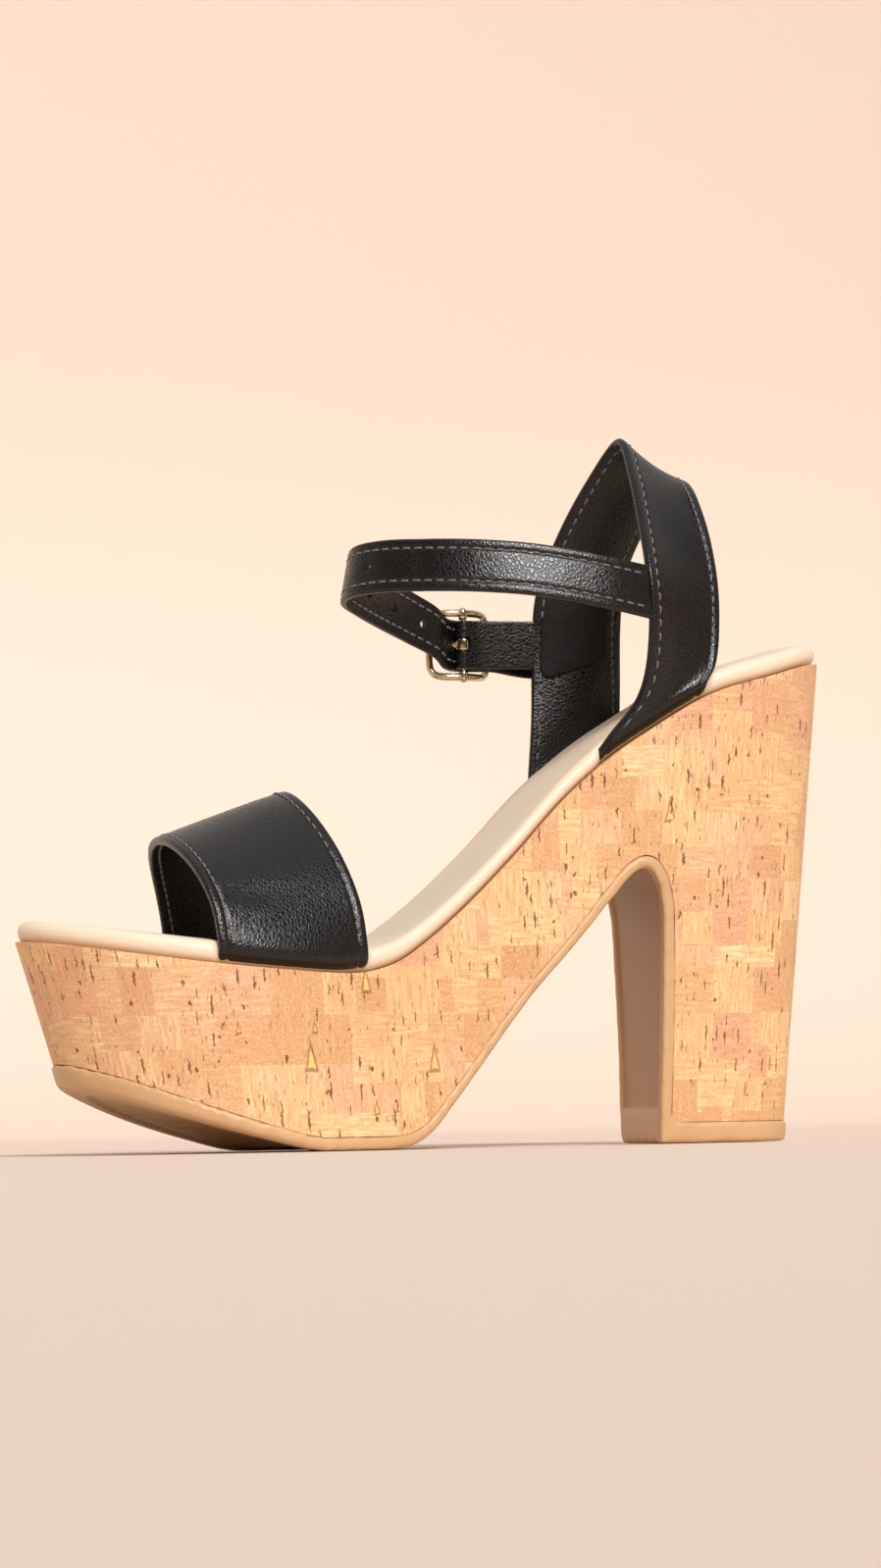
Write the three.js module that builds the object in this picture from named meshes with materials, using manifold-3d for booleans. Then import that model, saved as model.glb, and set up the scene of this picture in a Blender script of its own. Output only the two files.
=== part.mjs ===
// Right platform sandal: a cork-wrapped platform and block heel in one piece, a moulded rubber outsole,
// a padded footbed and a black strap upper that fastens with a buckle on the outer side.
// Millimetres. X runs from the heel to the toe, Y to the inner side of the foot, Z up, the floor is z = 0.
import * as THREE from 'three';
import { mergeVertices } from 'three/addons/utils/BufferGeometryUtils.js';
import Module from 'manifold-3d';

const wasm = await Module();
wasm.setup();

// Platform and heel
const SHOE_LENGTH = 209.5;      // heel back to toe tip, measured along the floor
const SEAT_HEIGHT = 119.5;     // top of the cork at the back of the heel
const BALL_HEIGHT = 41;        // top of the cork under the ball of the foot
const TOE_LIFT = 9;            // climb of the cork's top from the ball to the toe tip
const BALL_WIDTH = 81;         // widest place of the platform
const SEAT_WIDTH = 57;         // width of the heel seat, which the heel strap follows
const BEND_SKEW = 0.11;        // lines across the shoe run back to the outer side, mm a mm
const BEND_PIVOT = 26;         // distance from the middle line to where the side view is measured

// Outsole
const ARCH_HEIGHT = 67;        // floor to the crown of the arch between heel and forefoot
const TOE_SPRING = 20;         // how far the rubber is off the floor at the toe tip
const SOLE_THICKNESS = 3.2;    // rubber under the ball
const HEEL_BASE = 5.2;         // rubber under the heel
const RIM_LIP = 0.7;           // how far the rubber stands out past the cork
const TREAD_RIM = 6.5;         // smooth border around the tread field
const BREAST_RIM = 3.2;        // smooth border of the rubber up the heel's front and under the arch
const TREAD_DEPTH = 0.8;       // step from the border down to the field

// Footbed
const FOOTBED_THICKNESS = 5.2;
const FOOTBED_CROWN = 1.0;     // padding: how far the middle stands above the rim
const FOOTBED_INSET = 0.6;     // rim of the footbed behind the cork's wall

// Straps
const STRAP_WALL = 2.0;        // toe and heel strap, two layers sewn together
const ANKLE_WALL = 1.6;
const ANKLE_WIDTH = 13.3;
const TOE_STRAP_REAR = 45.5;   // height of the toe strap's rear edge over the cork
const TOE_STRAP_FRONT = 32;    // height of its front edge over the cork
const HEEL_STRAP_RISE = 58.5;  // top of the heel strap over the back of the cork
const STRAP_DISH = 1.4;        // how far the middle of the heel strap sinks between its edges
const STRAP_TAB = 9;           // strap end tucked in between cork and footbed
const TAB_BEND = 3.2;          // radius at which the strap end turns in
const TAB_LIFT = 0.45;         // strap end over the cork

// Buckle
const BAR_RADIUS = 0.8;
const RAIL_RADIUS = 0.95;
const FRAME_HALF_LENGTH = 8.1; // middle bar to the front rail, between centres
const FRAME_BOW = 3.6;         // how far the end rails stand out past the middle bar
const FRAME_CLEARANCE = 0.65;  // strap edge to the rails above and below it
const PRONG_RADIUS = 0.65;
const CURL_WIDTH = 3;
const CHAPE_LAYER = 0.9;       // one layer of the short strap that holds the buckle
const CHAPE_HEIGHT = 12.3;

const GAP = 0.3;               // clearance between pieces that touch

const HALF_BALL = BALL_WIDTH / 2;
const HALF_SEAT = SEAT_WIDTH / 2;
const HEEL_RISE = SEAT_HEIGHT - BALL_HEIGHT;
const PROFILE_REACH = 14;      // how far cutting forms run past the shoe

// Plan of the platform. along is a share of SHOE_LENGTH, inner and outer are shares of half the ball width.
// The first three columns are the edge under the footbed, the last three where the same wall meets the floor.
const PLAN = [
  { along: 0.0040, inner: 0.000, outer: 0.000, floorAlong: 0.0635, floorInner: 0.000, floorOuter: 0.000 },
  { along: 0.0107, inner: 0.217, outer: -0.217, floorAlong: 0.0668, floorInner: 0.148, floorOuter: -0.148 },
  { along: 0.0280, inner: 0.405, outer: -0.405, floorAlong: 0.0778, floorInner: 0.268, floorOuter: -0.268 },
  { along: 0.0605, inner: 0.563, outer: -0.563, floorAlong: 0.1002, floorInner: 0.350, floorOuter: -0.350 },
  { along: 0.1146, inner: 0.677, outer: -0.681, floorAlong: 0.1408, floorInner: 0.395, floorOuter: -0.395 },
  { along: 0.1885, inner: 0.701, outer: -0.714, floorAlong: 0.1957, floorInner: 0.410, floorOuter: -0.412 },
  { along: 0.2697, inner: 0.672, outer: -0.711, floorAlong: 0.2697, floorInner: 0.444, floorOuter: -0.457 },
  { along: 0.3648, inner: 0.632, outer: -0.711, floorAlong: 0.3608, floorInner: 0.531, floorOuter: -0.605 },
  { along: 0.4610, inner: 0.657, outer: -0.765, floorAlong: 0.4538, floorInner: 0.605, floorOuter: -0.705 },
  { along: 0.5469, inner: 0.765, outer: -0.854, floorAlong: 0.5368, floorInner: 0.712, floorOuter: -0.790 },
  { along: 0.6279, inner: 0.919, outer: -0.938, floorAlong: 0.6137, floorInner: 0.847, floorOuter: -0.864 },
  { along: 0.6998, inner: 1.007, outer: -0.968, floorAlong: 0.6820, floorInner: 0.923, floorOuter: -0.884 },
  { along: 0.7705, inner: 1.022, outer: -0.923, floorAlong: 0.7480, floorInner: 0.928, floorOuter: -0.835 },
  { along: 0.8424, inner: 0.958, outer: -0.805, floorAlong: 0.8115, floorInner: 0.854, floorOuter: -0.706 },
  { along: 0.9045, inner: 0.815, outer: -0.617, floorAlong: 0.8605, floorInner: 0.716, floorOuter: -0.519 },
  { along: 0.9540, inner: 0.607, outer: -0.370, floorAlong: 0.8960, floorInner: 0.531, floorOuter: -0.296 },
  { along: 0.9855, inner: 0.385, outer: -0.089, floorAlong: 0.9170, floorInner: 0.356, floorOuter: -0.064 },
  { along: 0.9980, inner: 0.158, outer: 0.158, floorAlong: 0.9215, floorInner: 0.158, floorOuter: 0.158 },
];

// Top of the cork seen from the side. climb is a share of the heel's rise, spring of TOE_LIFT.
const TOP_LINE = [
  { along: -0.0875, climb: 1.040, spring: 0 },
  { along: -0.0168, climb: 1.005, spring: 0 },
  { along: 0.0440, climb: 0.985, spring: 0 },
  { along: 0.1078, climb: 0.938, spring: 0 },
  { along: 0.1857, climb: 0.876, spring: 0 },
  { along: 0.2667, climb: 0.755, spring: 0 },
  { along: 0.3122, climb: 0.675, spring: 0 },
  { along: 0.3678, climb: 0.552, spring: 0 },
  { along: 0.4366, climb: 0.362, spring: 0 },
  { along: 0.4944, climb: 0.217, spring: 0 },
  { along: 0.5510, climb: 0.097, spring: 0 },
  { along: 0.5905, climb: 0.034, spring: 0 },
  { along: 0.6360, climb: 0.004, spring: 0 },
  { along: 0.6815, climb: 0.000, spring: 0.02 },
  { along: 0.7322, climb: 0.000, spring: 0.10 },
  { along: 0.8090, climb: 0.000, spring: 0.27 },
  { along: 0.8991, climb: 0.000, spring: 0.58 },
  { along: 0.9952, climb: 0.000, spring: 1.00 },
  { along: 1.0661, climb: 0.000, spring: 1.30 },
];

// Bottom of the rubber from the heel's front over the arch to the toe.
// lift is a share of ARCH_HEIGHT, spring of TOE_SPRING, rubber of SOLE_THICKNESS.
const SOLE_LINE = [
  { along: 0.2512, lift: -0.100, spring: 0, rubber: 1.05 },
  { along: 0.2506, lift: 0.120, spring: 0, rubber: 1.05 },
  { along: 0.2486, lift: 0.400, spring: 0, rubber: 1.05 },
  { along: 0.2481, lift: 0.700, spring: 0, rubber: 1.05 },
  { along: 0.2494, lift: 0.860, spring: 0, rubber: 1.03 },
  { along: 0.2555, lift: 0.950, spring: 0, rubber: 1.00 },
  { along: 0.2670, lift: 1.000, spring: 0, rubber: 0.98 },
  { along: 0.2820, lift: 0.985, spring: 0, rubber: 0.95 },
  { along: 0.3091, lift: 0.900, spring: 0, rubber: 0.88 },
  { along: 0.3526, lift: 0.745, spring: 0, rubber: 0.80 },
  { along: 0.4174, lift: 0.530, spring: 0, rubber: 0.78 },
  { along: 0.4842, lift: 0.275, spring: 0, rubber: 0.78 },
  { along: 0.5206, lift: 0.140, spring: 0, rubber: 0.82 },
  { along: 0.5459, lift: 0.055, spring: 0, rubber: 0.90 },
  { along: 0.5702, lift: 0.012, spring: 0, rubber: 0.97 },
  { along: 0.5955, lift: 0.000, spring: 0, rubber: 1.00 },
  { along: 0.6896, lift: 0.000, spring: 0, rubber: 1.00 },
  { along: 0.7523, lift: 0.000, spring: 0.15, rubber: 1.06 },
  { along: 0.8374, lift: 0.000, spring: 0.41, rubber: 1.30 },
  { along: 0.9193, lift: 0.000, spring: 0.70, rubber: 1.50 },
  { along: 1.0054, lift: 0.000, spring: 0.99, rubber: 1.55 },
  { along: 1.0661, lift: 0.000, spring: 1.20, rubber: 1.55 },
];

// Heel strap from its inner to its outer foot, as its front and its rear edge.
// along is a share of SHOE_LENGTH, across of half the seat width, rise of HEEL_STRAP_RISE over the seat.
const HEEL_STRAP = [
  { front: { along: 0.2767, across: 1.01, rise: -0.18 }, rear: { along: 0.1776, across: 0.94, rise: -0.03 } },
  { front: { along: 0.2687, across: 1.15, rise: 0.15 }, rear: { along: 0.1665, across: 0.85, rise: 0.18 } },
  { front: { along: 0.2707, across: 1.12, rise: 0.35 }, rear: { along: 0.1644, across: 0.78, rise: 0.35 } },
  { front: { along: 0.2640, across: 0.85, rise: 0.56 }, rear: { along: 0.1665, across: 0.65, rise: 0.55 } },
  { front: { along: 0.2530, across: 0.44, rise: 0.82 }, rear: { along: 0.1644, across: 0.34, rise: 0.74 } },
  { front: { along: 0.2434, across: 0.00, rise: 1.00 }, rear: { along: 0.1603, across: 0.00, rise: 0.81 } },
  { front: { along: 0.2625, across: -0.44, rise: 0.84 }, rear: { along: 0.1715, across: -0.35, rise: 0.75 } },
  { front: { along: 0.2831, across: -0.81, rise: 0.62 }, rear: { along: 0.1857, across: -0.67, rise: 0.59 } },
  { front: { along: 0.2998, across: -1.05, rise: 0.38 }, rear: { along: 0.1948, across: -0.82, rise: 0.44 } },
  { front: { along: 0.3045, across: -1.10, rise: 0.14 }, rear: { along: 0.1978, across: -0.91, rise: 0.23 } },
  { front: { along: 0.3103, across: -1.05, rise: -0.19 }, rear: { along: 0.1978, across: -0.96, rise: 0.00 } },
];
const HEEL_FEET = { innerFront: 0.3240, innerRear: 0.1927, outerFront: 0.3202, outerRear: 0.1978 };

// Toe strap. along values are shares of SHOE_LENGTH at the inner foot, the top and the outer foot of each edge.
const TOE_FRONT = { innerAlong: 0.8090, topAlong: 0.8333, outerAlong: 0.7705, roundness: 2.1 };
const TOE_REAR = { innerAlong: 0.6299, topAlong: 0.6734, outerAlong: 0.5965, roundness: 1.85 };

// Ankle strap, along its middle from where it is sewn in at the inner side, round the front, to the buckle.
// lean is how far its lower edge stands out past its upper edge, as a share of its width.
const ANKLE_STRAP = [
  { along: 0.2460, across: 1.000, rise: 0.238, lean: 0.05 },
  { along: 0.2740, across: 1.100, rise: 0.245, lean: 0.08 },
  { along: 0.3173, across: 1.160, rise: 0.268, lean: 0.14 },
  { along: 0.3648, across: 1.133, rise: 0.299, lean: 0.17 },
  { along: 0.4174, across: 1.053, rise: 0.328, lean: 0.20 },
  { along: 0.4772, across: 0.905, rise: 0.347, lean: 0.20 },
  { along: 0.5317, across: 0.660, rise: 0.359, lean: 0.20 },
  { along: 0.5682, across: 0.404, rise: 0.366, lean: 0.20 },
  { along: 0.5874, across: 0.105, rise: 0.362, lean: 0.20 },
  { along: 0.5824, across: -0.175, rise: 0.347, lean: 0.18 },
  { along: 0.5561, across: -0.386, rise: 0.320, lean: 0.15 },
  { along: 0.5135, across: -0.684, rise: 0.285, lean: 0.12 },
  { along: 0.4680, across: -0.947, rise: 0.244, lean: 0.08 },
];
// The same strap through the buckle, in the buckle's own directions: ahead of the bar, out from it and up.
const THROUGH_BUCKLE = [
  { ahead: 8.3, out: -1.4, up: 2.6 },
  { ahead: 5.0, out: 0.5, up: 0.35 },
  { ahead: 0.0, out: 3.05, up: 0.0 },
  { ahead: -4.2, out: 2.0, up: 0.0 },
  { ahead: -8.1, out: 0.45, up: -0.1 },
];
// The strap's tail outside the heel strap.
const STRAP_TAIL = [
  { along: 0.3091, across: -1.250, rise: 0.125, lean: 0.00 },
  { along: 0.2716, across: -1.190, rise: 0.115, lean: 0.00 },
  { along: 0.2312, across: -1.110, rise: 0.108, lean: 0.00 },
];
// Middle of the buckle's bar. turn is in degrees and brings the front rail in towards the foot.
const BUCKLE = { along: 0.3905, across: -1.158, rise: 0.146, turn: 6 };
// End of the buckle's own strap between the layers of the heel strap.
const CHAPE_ROOT = { along: 0.2484, across: -0.995, rise: 0.146 };

const mix = THREE.MathUtils.lerp;
const vec = (x, y, z) => new THREE.Vector3(x, y, z);

// Meshes and solids

// Skins a stack of rings of equal length and closes both ends, or joins the last ring to the first.
function loft(rings, closed = false) {
  const size = rings[0].length;
  const positions = rings.flat().flatMap((p) => [p.x, p.y, p.z]);
  const index = [];
  const steps = closed ? rings.length : rings.length - 1;
  for (let i = 0; i < steps; i++) {
    const here = i * size;
    const next = ((i + 1) % rings.length) * size;
    for (let k = 0; k < size; k++) {
      const l = (k + 1) % size;
      index.push(here + k, here + l, next + l, here + k, next + l, next + k);
    }
  }
  if (!closed) {
    for (const [start, flip] of [[0, true], [(rings.length - 1) * size, false]]) {
      for (let a = 0, b = size - 1; b - a >= 2; a++, b--) {
        const corners = [[a, a + 1, b]];
        if (b - 1 > a + 1) corners.push([a + 1, b - 1, b]);
        for (const [p, q, r] of corners) {
          index.push(start + p, start + (flip ? r : q), start + (flip ? q : r));
        }
      }
    }
  }
  const geometry = new THREE.BufferGeometry();
  geometry.setAttribute('position', new THREE.Float32BufferAttribute(positions, 3));
  geometry.setIndex(index);
  return geometry;
}

function toSolid(geometry) {
  const bare = geometry.clone();
  bare.deleteAttribute('normal');
  bare.deleteAttribute('uv');
  const merged = mergeVertices(bare, 1e-4);
  const mesh = (triangles) => new wasm.Manifold(new wasm.Mesh({
    numProp: 3,
    vertProperties: new Float32Array(merged.attributes.position.array),
    triVerts: triangles,
  }));
  const triangles = new Uint32Array(merged.index.array);
  const solid = mesh(triangles);
  return solid.volume() > 0 ? solid : mesh(triangles.reverse());
}

function toGeometry(solid) {
  const { vertProperties, triVerts } = solid.getMesh();
  const geometry = new THREE.BufferGeometry();
  geometry.setAttribute('position', new THREE.Float32BufferAttribute(vertProperties, 3));
  geometry.setIndex(Array.from(triVerts));
  geometry.computeVertexNormals();
  return geometry;
}

// How far a place of the side view lies further forward at y: all of it from the heel's front to the ball
function skew(x, y) {
  const { smoothstep } = THREE.MathUtils;
  const starts = smoothstep(x, 0.08 * SHOE_LENGTH, 0.23 * SHOE_LENGTH);
  const ends = smoothstep(x, 0.58 * SHOE_LENGTH, 0.70 * SHOE_LENGTH);
  return BEND_SKEW * (y - BEND_PIVOT) * (starts - ends);
}

// Runs a side view of [x, z] points across the shoe.
function sideForm(points) {
  const depth = BALL_WIDTH * 1.1;
  const shape = new THREE.Shape(points.map(([x, z]) => new THREE.Vector2(x, z)));
  const geometry = new THREE.ExtrudeGeometry(shape, { depth, bevelEnabled: false });
  geometry.rotateX(Math.PI / 2).translate(0, depth / 2, 0);
  const place = geometry.attributes.position;
  for (let i = 0; i < place.count; i++) {
    place.setX(i, place.getX(i) + skew(place.getX(i), place.getY(i)));
  }
  return toSolid(geometry);
}

// Lines of the side view

const smooth = (points, steps, closed = false) => (
  new THREE.CatmullRomCurve3(points, closed, 'centripetal').getPoints(steps)
);

const topPoints = smooth(TOP_LINE.map((row) => vec(
  row.along * SHOE_LENGTH,
  0,
  BALL_HEIGHT + row.climb * HEEL_RISE + row.spring * TOE_LIFT,
)), 56);

// Height of the cork's top at a place in plan
function corkTop(x, y) {
  const at = (point) => point.x + skew(point.x, y);
  const next = Math.max(1, topPoints.findIndex((p) => at(p) >= x));
  const [a, b] = [topPoints[next - 1], topPoints[next]];
  return mix(a.z, b.z, (x - at(a)) / (at(b) - at(a)));
}

const soleRows = SOLE_LINE.map((row) => ({
  point: vec(row.along * SHOE_LENGTH, 0, row.lift * ARCH_HEIGHT + row.spring * TOE_SPRING),
  rubber: row.rubber * SOLE_THICKNESS,
}));
const SOLE_STEPS = 3;
const solePoints = smooth(soleRows.map((row) => row.point), (soleRows.length - 1) * SOLE_STEPS);

// The rubber's lower line pushed up into the shoe, by its own thickness or by a given depth.
function soleOffset(extra, depth = null) {
  return solePoints.map((point, i) => {
    const before = solePoints[Math.max(0, i - 1)];
    const after = solePoints[Math.min(solePoints.length - 1, i + 1)];
    const run = after.clone().sub(before).normalize();
    const row = Math.min(soleRows.length - 2, Math.floor(i / SOLE_STEPS));
    const rubber = mix(soleRows[row].rubber, soleRows[row + 1].rubber, i / SOLE_STEPS - row);
    const push = depth === null ? rubber + extra : depth;
    return vec(point.x - run.z * push, 0, Math.max(point.z, 0) + run.x * push);
  });
}

// Walls of the shoe

const planPoint = (row, side) => vec(row.along * SHOE_LENGTH, row[side] * HALF_BALL, 0);
const floorSide = { inner: 'floorInner', outer: 'floorOuter' };
const floorPoint = (row, side) => vec(row.floorAlong * SHOE_LENGTH, row[floorSide[side]] * HALF_BALL, 0);
const RING_STEPS = 4;

// A closed ring through the inner edge towards the toe and the outer edge back to the heel.
function ringOf(pick) {
  const inner = PLAN.map((row) => pick(row, 'inner'));
  const outer = PLAN.slice(1, -1).map((row) => pick(row, 'outer')).reverse();
  const controls = [...inner, ...outer];
  return smooth(controls, controls.length * RING_STEPS, true).slice(0, -1);
}
const edgeRing = ringOf(planPoint);
const floorRing = ringOf(floorPoint);

function insetRing(ring, inset) {
  return ring.map((point, i) => {
    const before = ring[(i + ring.length - 1) % ring.length];
    const after = ring[(i + 1) % ring.length];
    const run = after.clone().sub(before).normalize();
    return vec(point.x + run.y * inset, point.y - run.x * inset, point.z);
  });
}
const RING_HALF = edgeRing.length / 2;

// The platform's wall between floor and footbed, run on past both so that side views cut it.
function wallForm(inset) {
  const top = insetRing(edgeRing, inset).map((p) => vec(p.x, p.y, corkTop(p.x, p.y)));
  const foot = insetRing(floorRing, inset);
  const level = (share) => top.map((p, i) => foot[i].clone().lerp(p, share));
  return toSolid(loft([level(-0.06), level(1.16)]));
}

// Half width of the platform's edge at x, on the inner (+1) or outer (-1) side
function edgeAt(x, side) {
  const outerHalf = [edgeRing[0], ...edgeRing.slice(RING_HALF).reverse()];
  const half = side > 0 ? edgeRing.slice(0, RING_HALF + 1) : outerHalf;
  const next = Math.max(1, half.findIndex((p) => p.x >= x));
  const [a, b] = [half[next - 1], half[next]];
  return mix(a.y, b.y, (x - a.x) / (b.x - a.x));
}

// Platform and heel block

function platformBlock() {
  const under = soleOffset(GAP).filter((p) => p.z > HEEL_BASE + GAP || p.x > SHOE_LENGTH / 2);
  const breastX = soleOffset(GAP)[SOLE_STEPS].x;
  const profile = [
    ...topPoints.map((p) => [p.x, p.z]),
    ...under.reverse().map((p) => [p.x, p.z]),
    [breastX, HEEL_BASE + GAP],
    [-PROFILE_REACH, HEEL_BASE + GAP],
  ];
  return sideForm(profile).intersect(wallForm(0));
}

// Outsole

function outsole() {
  const upper = soleOffset(0).filter((p) => p.z > HEEL_BASE || p.x > SHOE_LENGTH / 2);
  const breastX = soleOffset(0)[SOLE_STEPS].x;
  const lower = solePoints.filter((p) => p.z > 0 || p.x > SHOE_LENGTH / 2);
  const profile = [
    [-PROFILE_REACH, 0],
    [solePoints[0].x, 0],
    ...lower.map((p) => [p.x, Math.max(p.z, 0)]),
    ...upper.reverse().map((p) => [p.x, p.z]),
    [breastX, HEEL_BASE],
    [-PROFILE_REACH, HEEL_BASE],
  ];
  const body = sideForm(profile).intersect(wallForm(-RIM_LIP));
  return body.subtract(soleField(treadSpan, TREAD_RIM)).subtract(soleField(breastSpan, BREAST_RIM));
}

// Spans of the sunken fields, as shares of SHOE_LENGTH for the tread and of ARCH_HEIGHT for the heel's front
const treadSpan = (p) => p.x > 0.535 * SHOE_LENGTH && p.x < 0.930 * SHOE_LENGTH;
const breastSpan = (p) => (
  p.x < 0.50 * SHOE_LENGTH && (p.z > 0.13 * ARCH_HEIGHT || p.x > 0.29 * SHOE_LENGTH)
);

// A field sunk into the rubber's lower face, inside a border
function soleField(span, rim) {
  const inside = solePoints.map((p) => span(p));
  const floor = soleOffset(0, TREAD_DEPTH).filter((p, i) => inside[i]);
  const below = soleOffset(0, -TREAD_DEPTH).filter((p, i) => inside[i]);
  const profile = [...below, ...floor.reverse()].map((p) => [p.x, p.z]);
  return sideForm(profile).intersect(wallForm(rim));
}

// Footbed

// The rings run from below the underside up round the edge to the padded middle. The cork's own line, raised
// by the gap, cuts the underside, and the straps' feet take their room out of it.
function footbed(straps) {
  const bottom = GAP;
  const top = GAP + FOOTBED_THICKNESS;
  const round = FOOTBED_THICKNESS / 2;
  const layers = [
    { inset: round * 0.25, height: bottom - 1 },
    { inset: 0, height: mix(bottom, top, 0.35) },
    { inset: round * 0.12, height: mix(bottom, top, 0.68) },
    { inset: round * 0.45, height: mix(bottom, top, 0.90) },
    { inset: round * 1.1, height: top },
    { inset: round * 4, height: top + FOOTBED_CROWN },
  ];
  const rings = layers.map(({ inset, height }) => (
    insetRing(edgeRing, FOOTBED_INSET + inset).map((p) => vec(p.x, p.y, corkTop(p.x, p.y) + height))
  ));
  const under = sideForm([
    ...topPoints.map((p) => [p.x, p.z + GAP]),
    [topPoints.at(-1).x, 0],
    [topPoints[0].x, 0],
  ]);
  return [under, ...straps].reduce((solid, cutter) => solid.subtract(cutter), toSolid(loft(rings)));
}

// Straps

// A wall that follows a grid of points on the strap's outer face, from depth below it to lift above it.
// margin makes it longer and wider past all four edges.
function shell(grid, depth, lift = 0, margin = 0) {
  const last = grid.length - 1;
  const wide = grid[0].length - 1;
  const past = (i) => (i === 0 ? 1 : i === last ? last - 1 : i);
  const outward = (i, j) => {
    const along = grid[Math.min(last, i + 1)][j].clone().sub(grid[Math.max(0, i - 1)][j]);
    const across = grid[i][Math.min(wide, j + 1)].clone().sub(grid[i][Math.max(0, j - 1)]);
    return across.cross(along).normalize();
  };
  const rings = grid.map((line, i) => {
    const points = line.map((p, j) => {
      const spread = j === 0 ? -1 : j === wide ? 1 : 0;
      const across = line[Math.min(wide, j + 1)].clone().sub(line[Math.max(0, j - 1)]).normalize();
      const along = p.clone().sub(grid[past(i)][j]).normalize();
      return p.clone().addScaledVector(across, spread * margin).addScaledVector(along, margin);
    });
    const face = (distance) => points.map((p, j) => p.clone().addScaledVector(outward(i, j), distance));
    return [...face(lift), ...face(-depth).reverse()];
  });
  return toSolid(loft(rings));
}

const BAND_ACROSS = 6;
const share = (j) => j / BAND_ACROSS;

// The tucked end of a strap: in from the footbed's underside, round the cork's edge and up.
function footLines(frontX, rearX, side) {
  const line = (place) => Array.from({ length: BAND_ACROSS + 1 }, (_, j) => {
    const x = mix(frontX, rearX, share(j));
    const y = edgeAt(x, side) - side * (GAP + place.inward);
    return vec(x, y, corkTop(x, y) + TAB_LIFT + place.up);
  });
  const bend = (degrees) => {
    const angle = THREE.MathUtils.degToRad(degrees);
    return { inward: TAB_BEND * (1 - Math.sin(angle)), up: TAB_BEND * (1 - Math.cos(angle)) };
  };
  const places = [{ inward: STRAP_TAB, up: 0 }, bend(0), bend(22), bend(45), bend(68), bend(90)];
  return places.map(line);
}

// Blends a free strap into its feet: the strap's own lines between the lines of both tucked ends.
function bandBetween(innerFoot, lines, outerFoot) {
  const stations = [innerFoot.at(-1), ...lines, outerFoot.at(-1)];
  const steps = (stations.length - 1) * 3;
  const columns = stations[0].map((_, j) => smooth(stations.map((line) => line[j]), steps));
  const free = columns[0].map((_, i) => columns.map((column) => column[i])).slice(1, -1);
  return [...innerFoot, ...free, ...outerFoot.slice().reverse()];
}

function toeStrapGrid() {
  const edge = ({ innerAlong, topAlong, outerAlong, roundness }, height, angle) => {
    const turn = (1 - Math.cos(angle)) / 2;
    const base = mix(innerAlong, outerAlong, turn);
    const bulge = topAlong - mix(innerAlong, outerAlong, 0.5);
    const x = (base + bulge * Math.sin(angle) ** 2) * SHOE_LENGTH;
    const power = 2 / roundness;
    const side = Math.sign(Math.cos(angle));
    const innerY = edgeAt(innerAlong * SHOE_LENGTH, 1) - GAP;
    const outerY = edgeAt(outerAlong * SHOE_LENGTH, -1) + GAP;
    const reach = side * Math.abs(Math.cos(angle)) ** power;
    const y = mix(outerY, innerY, (1 + reach) / 2);
    const innerFoot = corkTop(innerAlong * SHOE_LENGTH, innerY);
    const outerFoot = corkTop(outerAlong * SHOE_LENGTH, outerY);
    const foot = mix(innerFoot, outerFoot, turn);
    const start = TAB_LIFT + TAB_BEND;
    return vec(x, y, foot + start + (height - start) * Math.abs(Math.sin(angle)) ** power);
  };
  const arches = 10;
  const lines = Array.from({ length: arches - 1 }, (_, i) => {
    const angle = Math.PI * (i + 1) / arches;
    const front = edge(TOE_FRONT, TOE_STRAP_FRONT, angle);
    const rear = edge(TOE_REAR, TOE_STRAP_REAR, angle);
    return Array.from({ length: BAND_ACROSS + 1 }, (__, j) => front.clone().lerp(rear, share(j)));
  });
  const foot = (along, side) => (
    footLines(TOE_FRONT[along] * SHOE_LENGTH, TOE_REAR[along] * SHOE_LENGTH, side)
  );
  return bandBetween(foot('innerAlong', 1), lines, foot('outerAlong', -1));
}

const upperPoint = ({ along, across, rise }) => vec(
  along * SHOE_LENGTH,
  across * HALF_SEAT,
  SEAT_HEIGHT + rise * HEEL_STRAP_RISE,
);

function heelStrapGrid() {
  const lines = HEEL_STRAP.map((row, i) => {
    const front = upperPoint(row.front);
    const rear = upperPoint(row.rear);
    const crest = Math.sin(Math.PI * (i + 1) / (HEEL_STRAP.length + 1));
    const middle = vec(0, 0, SEAT_HEIGHT);
    return Array.from({ length: BAND_ACROSS + 1 }, (_, j) => {
      const point = front.clone().lerp(rear, share(j));
      const inward = middle.clone().sub(point).setX(0).normalize();
      return point.addScaledVector(inward, STRAP_DISH * crest * Math.sin(Math.PI * share(j)));
    });
  });
  const foot = (front, rear, side) => (
    footLines(HEEL_FEET[front] * SHOE_LENGTH, HEEL_FEET[rear] * SHOE_LENGTH, side)
  );
  return bandBetween(foot('innerFront', 'innerRear', 1), lines, foot('outerFront', 'outerRear', -1));
}

// Places in the buckle's own directions: ahead along the strap, out from the foot, up
const buckleBar = upperPoint(BUCKLE);
const buckleTurn = THREE.MathUtils.degToRad(BUCKLE.turn);
const onBuckle = (ahead, out, up) => vec(
  buckleBar.x + ahead * Math.cos(buckleTurn) + out * Math.sin(buckleTurn),
  buckleBar.y + ahead * Math.sin(buckleTurn) - out * Math.cos(buckleTurn),
  buckleBar.z + up,
);

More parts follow.
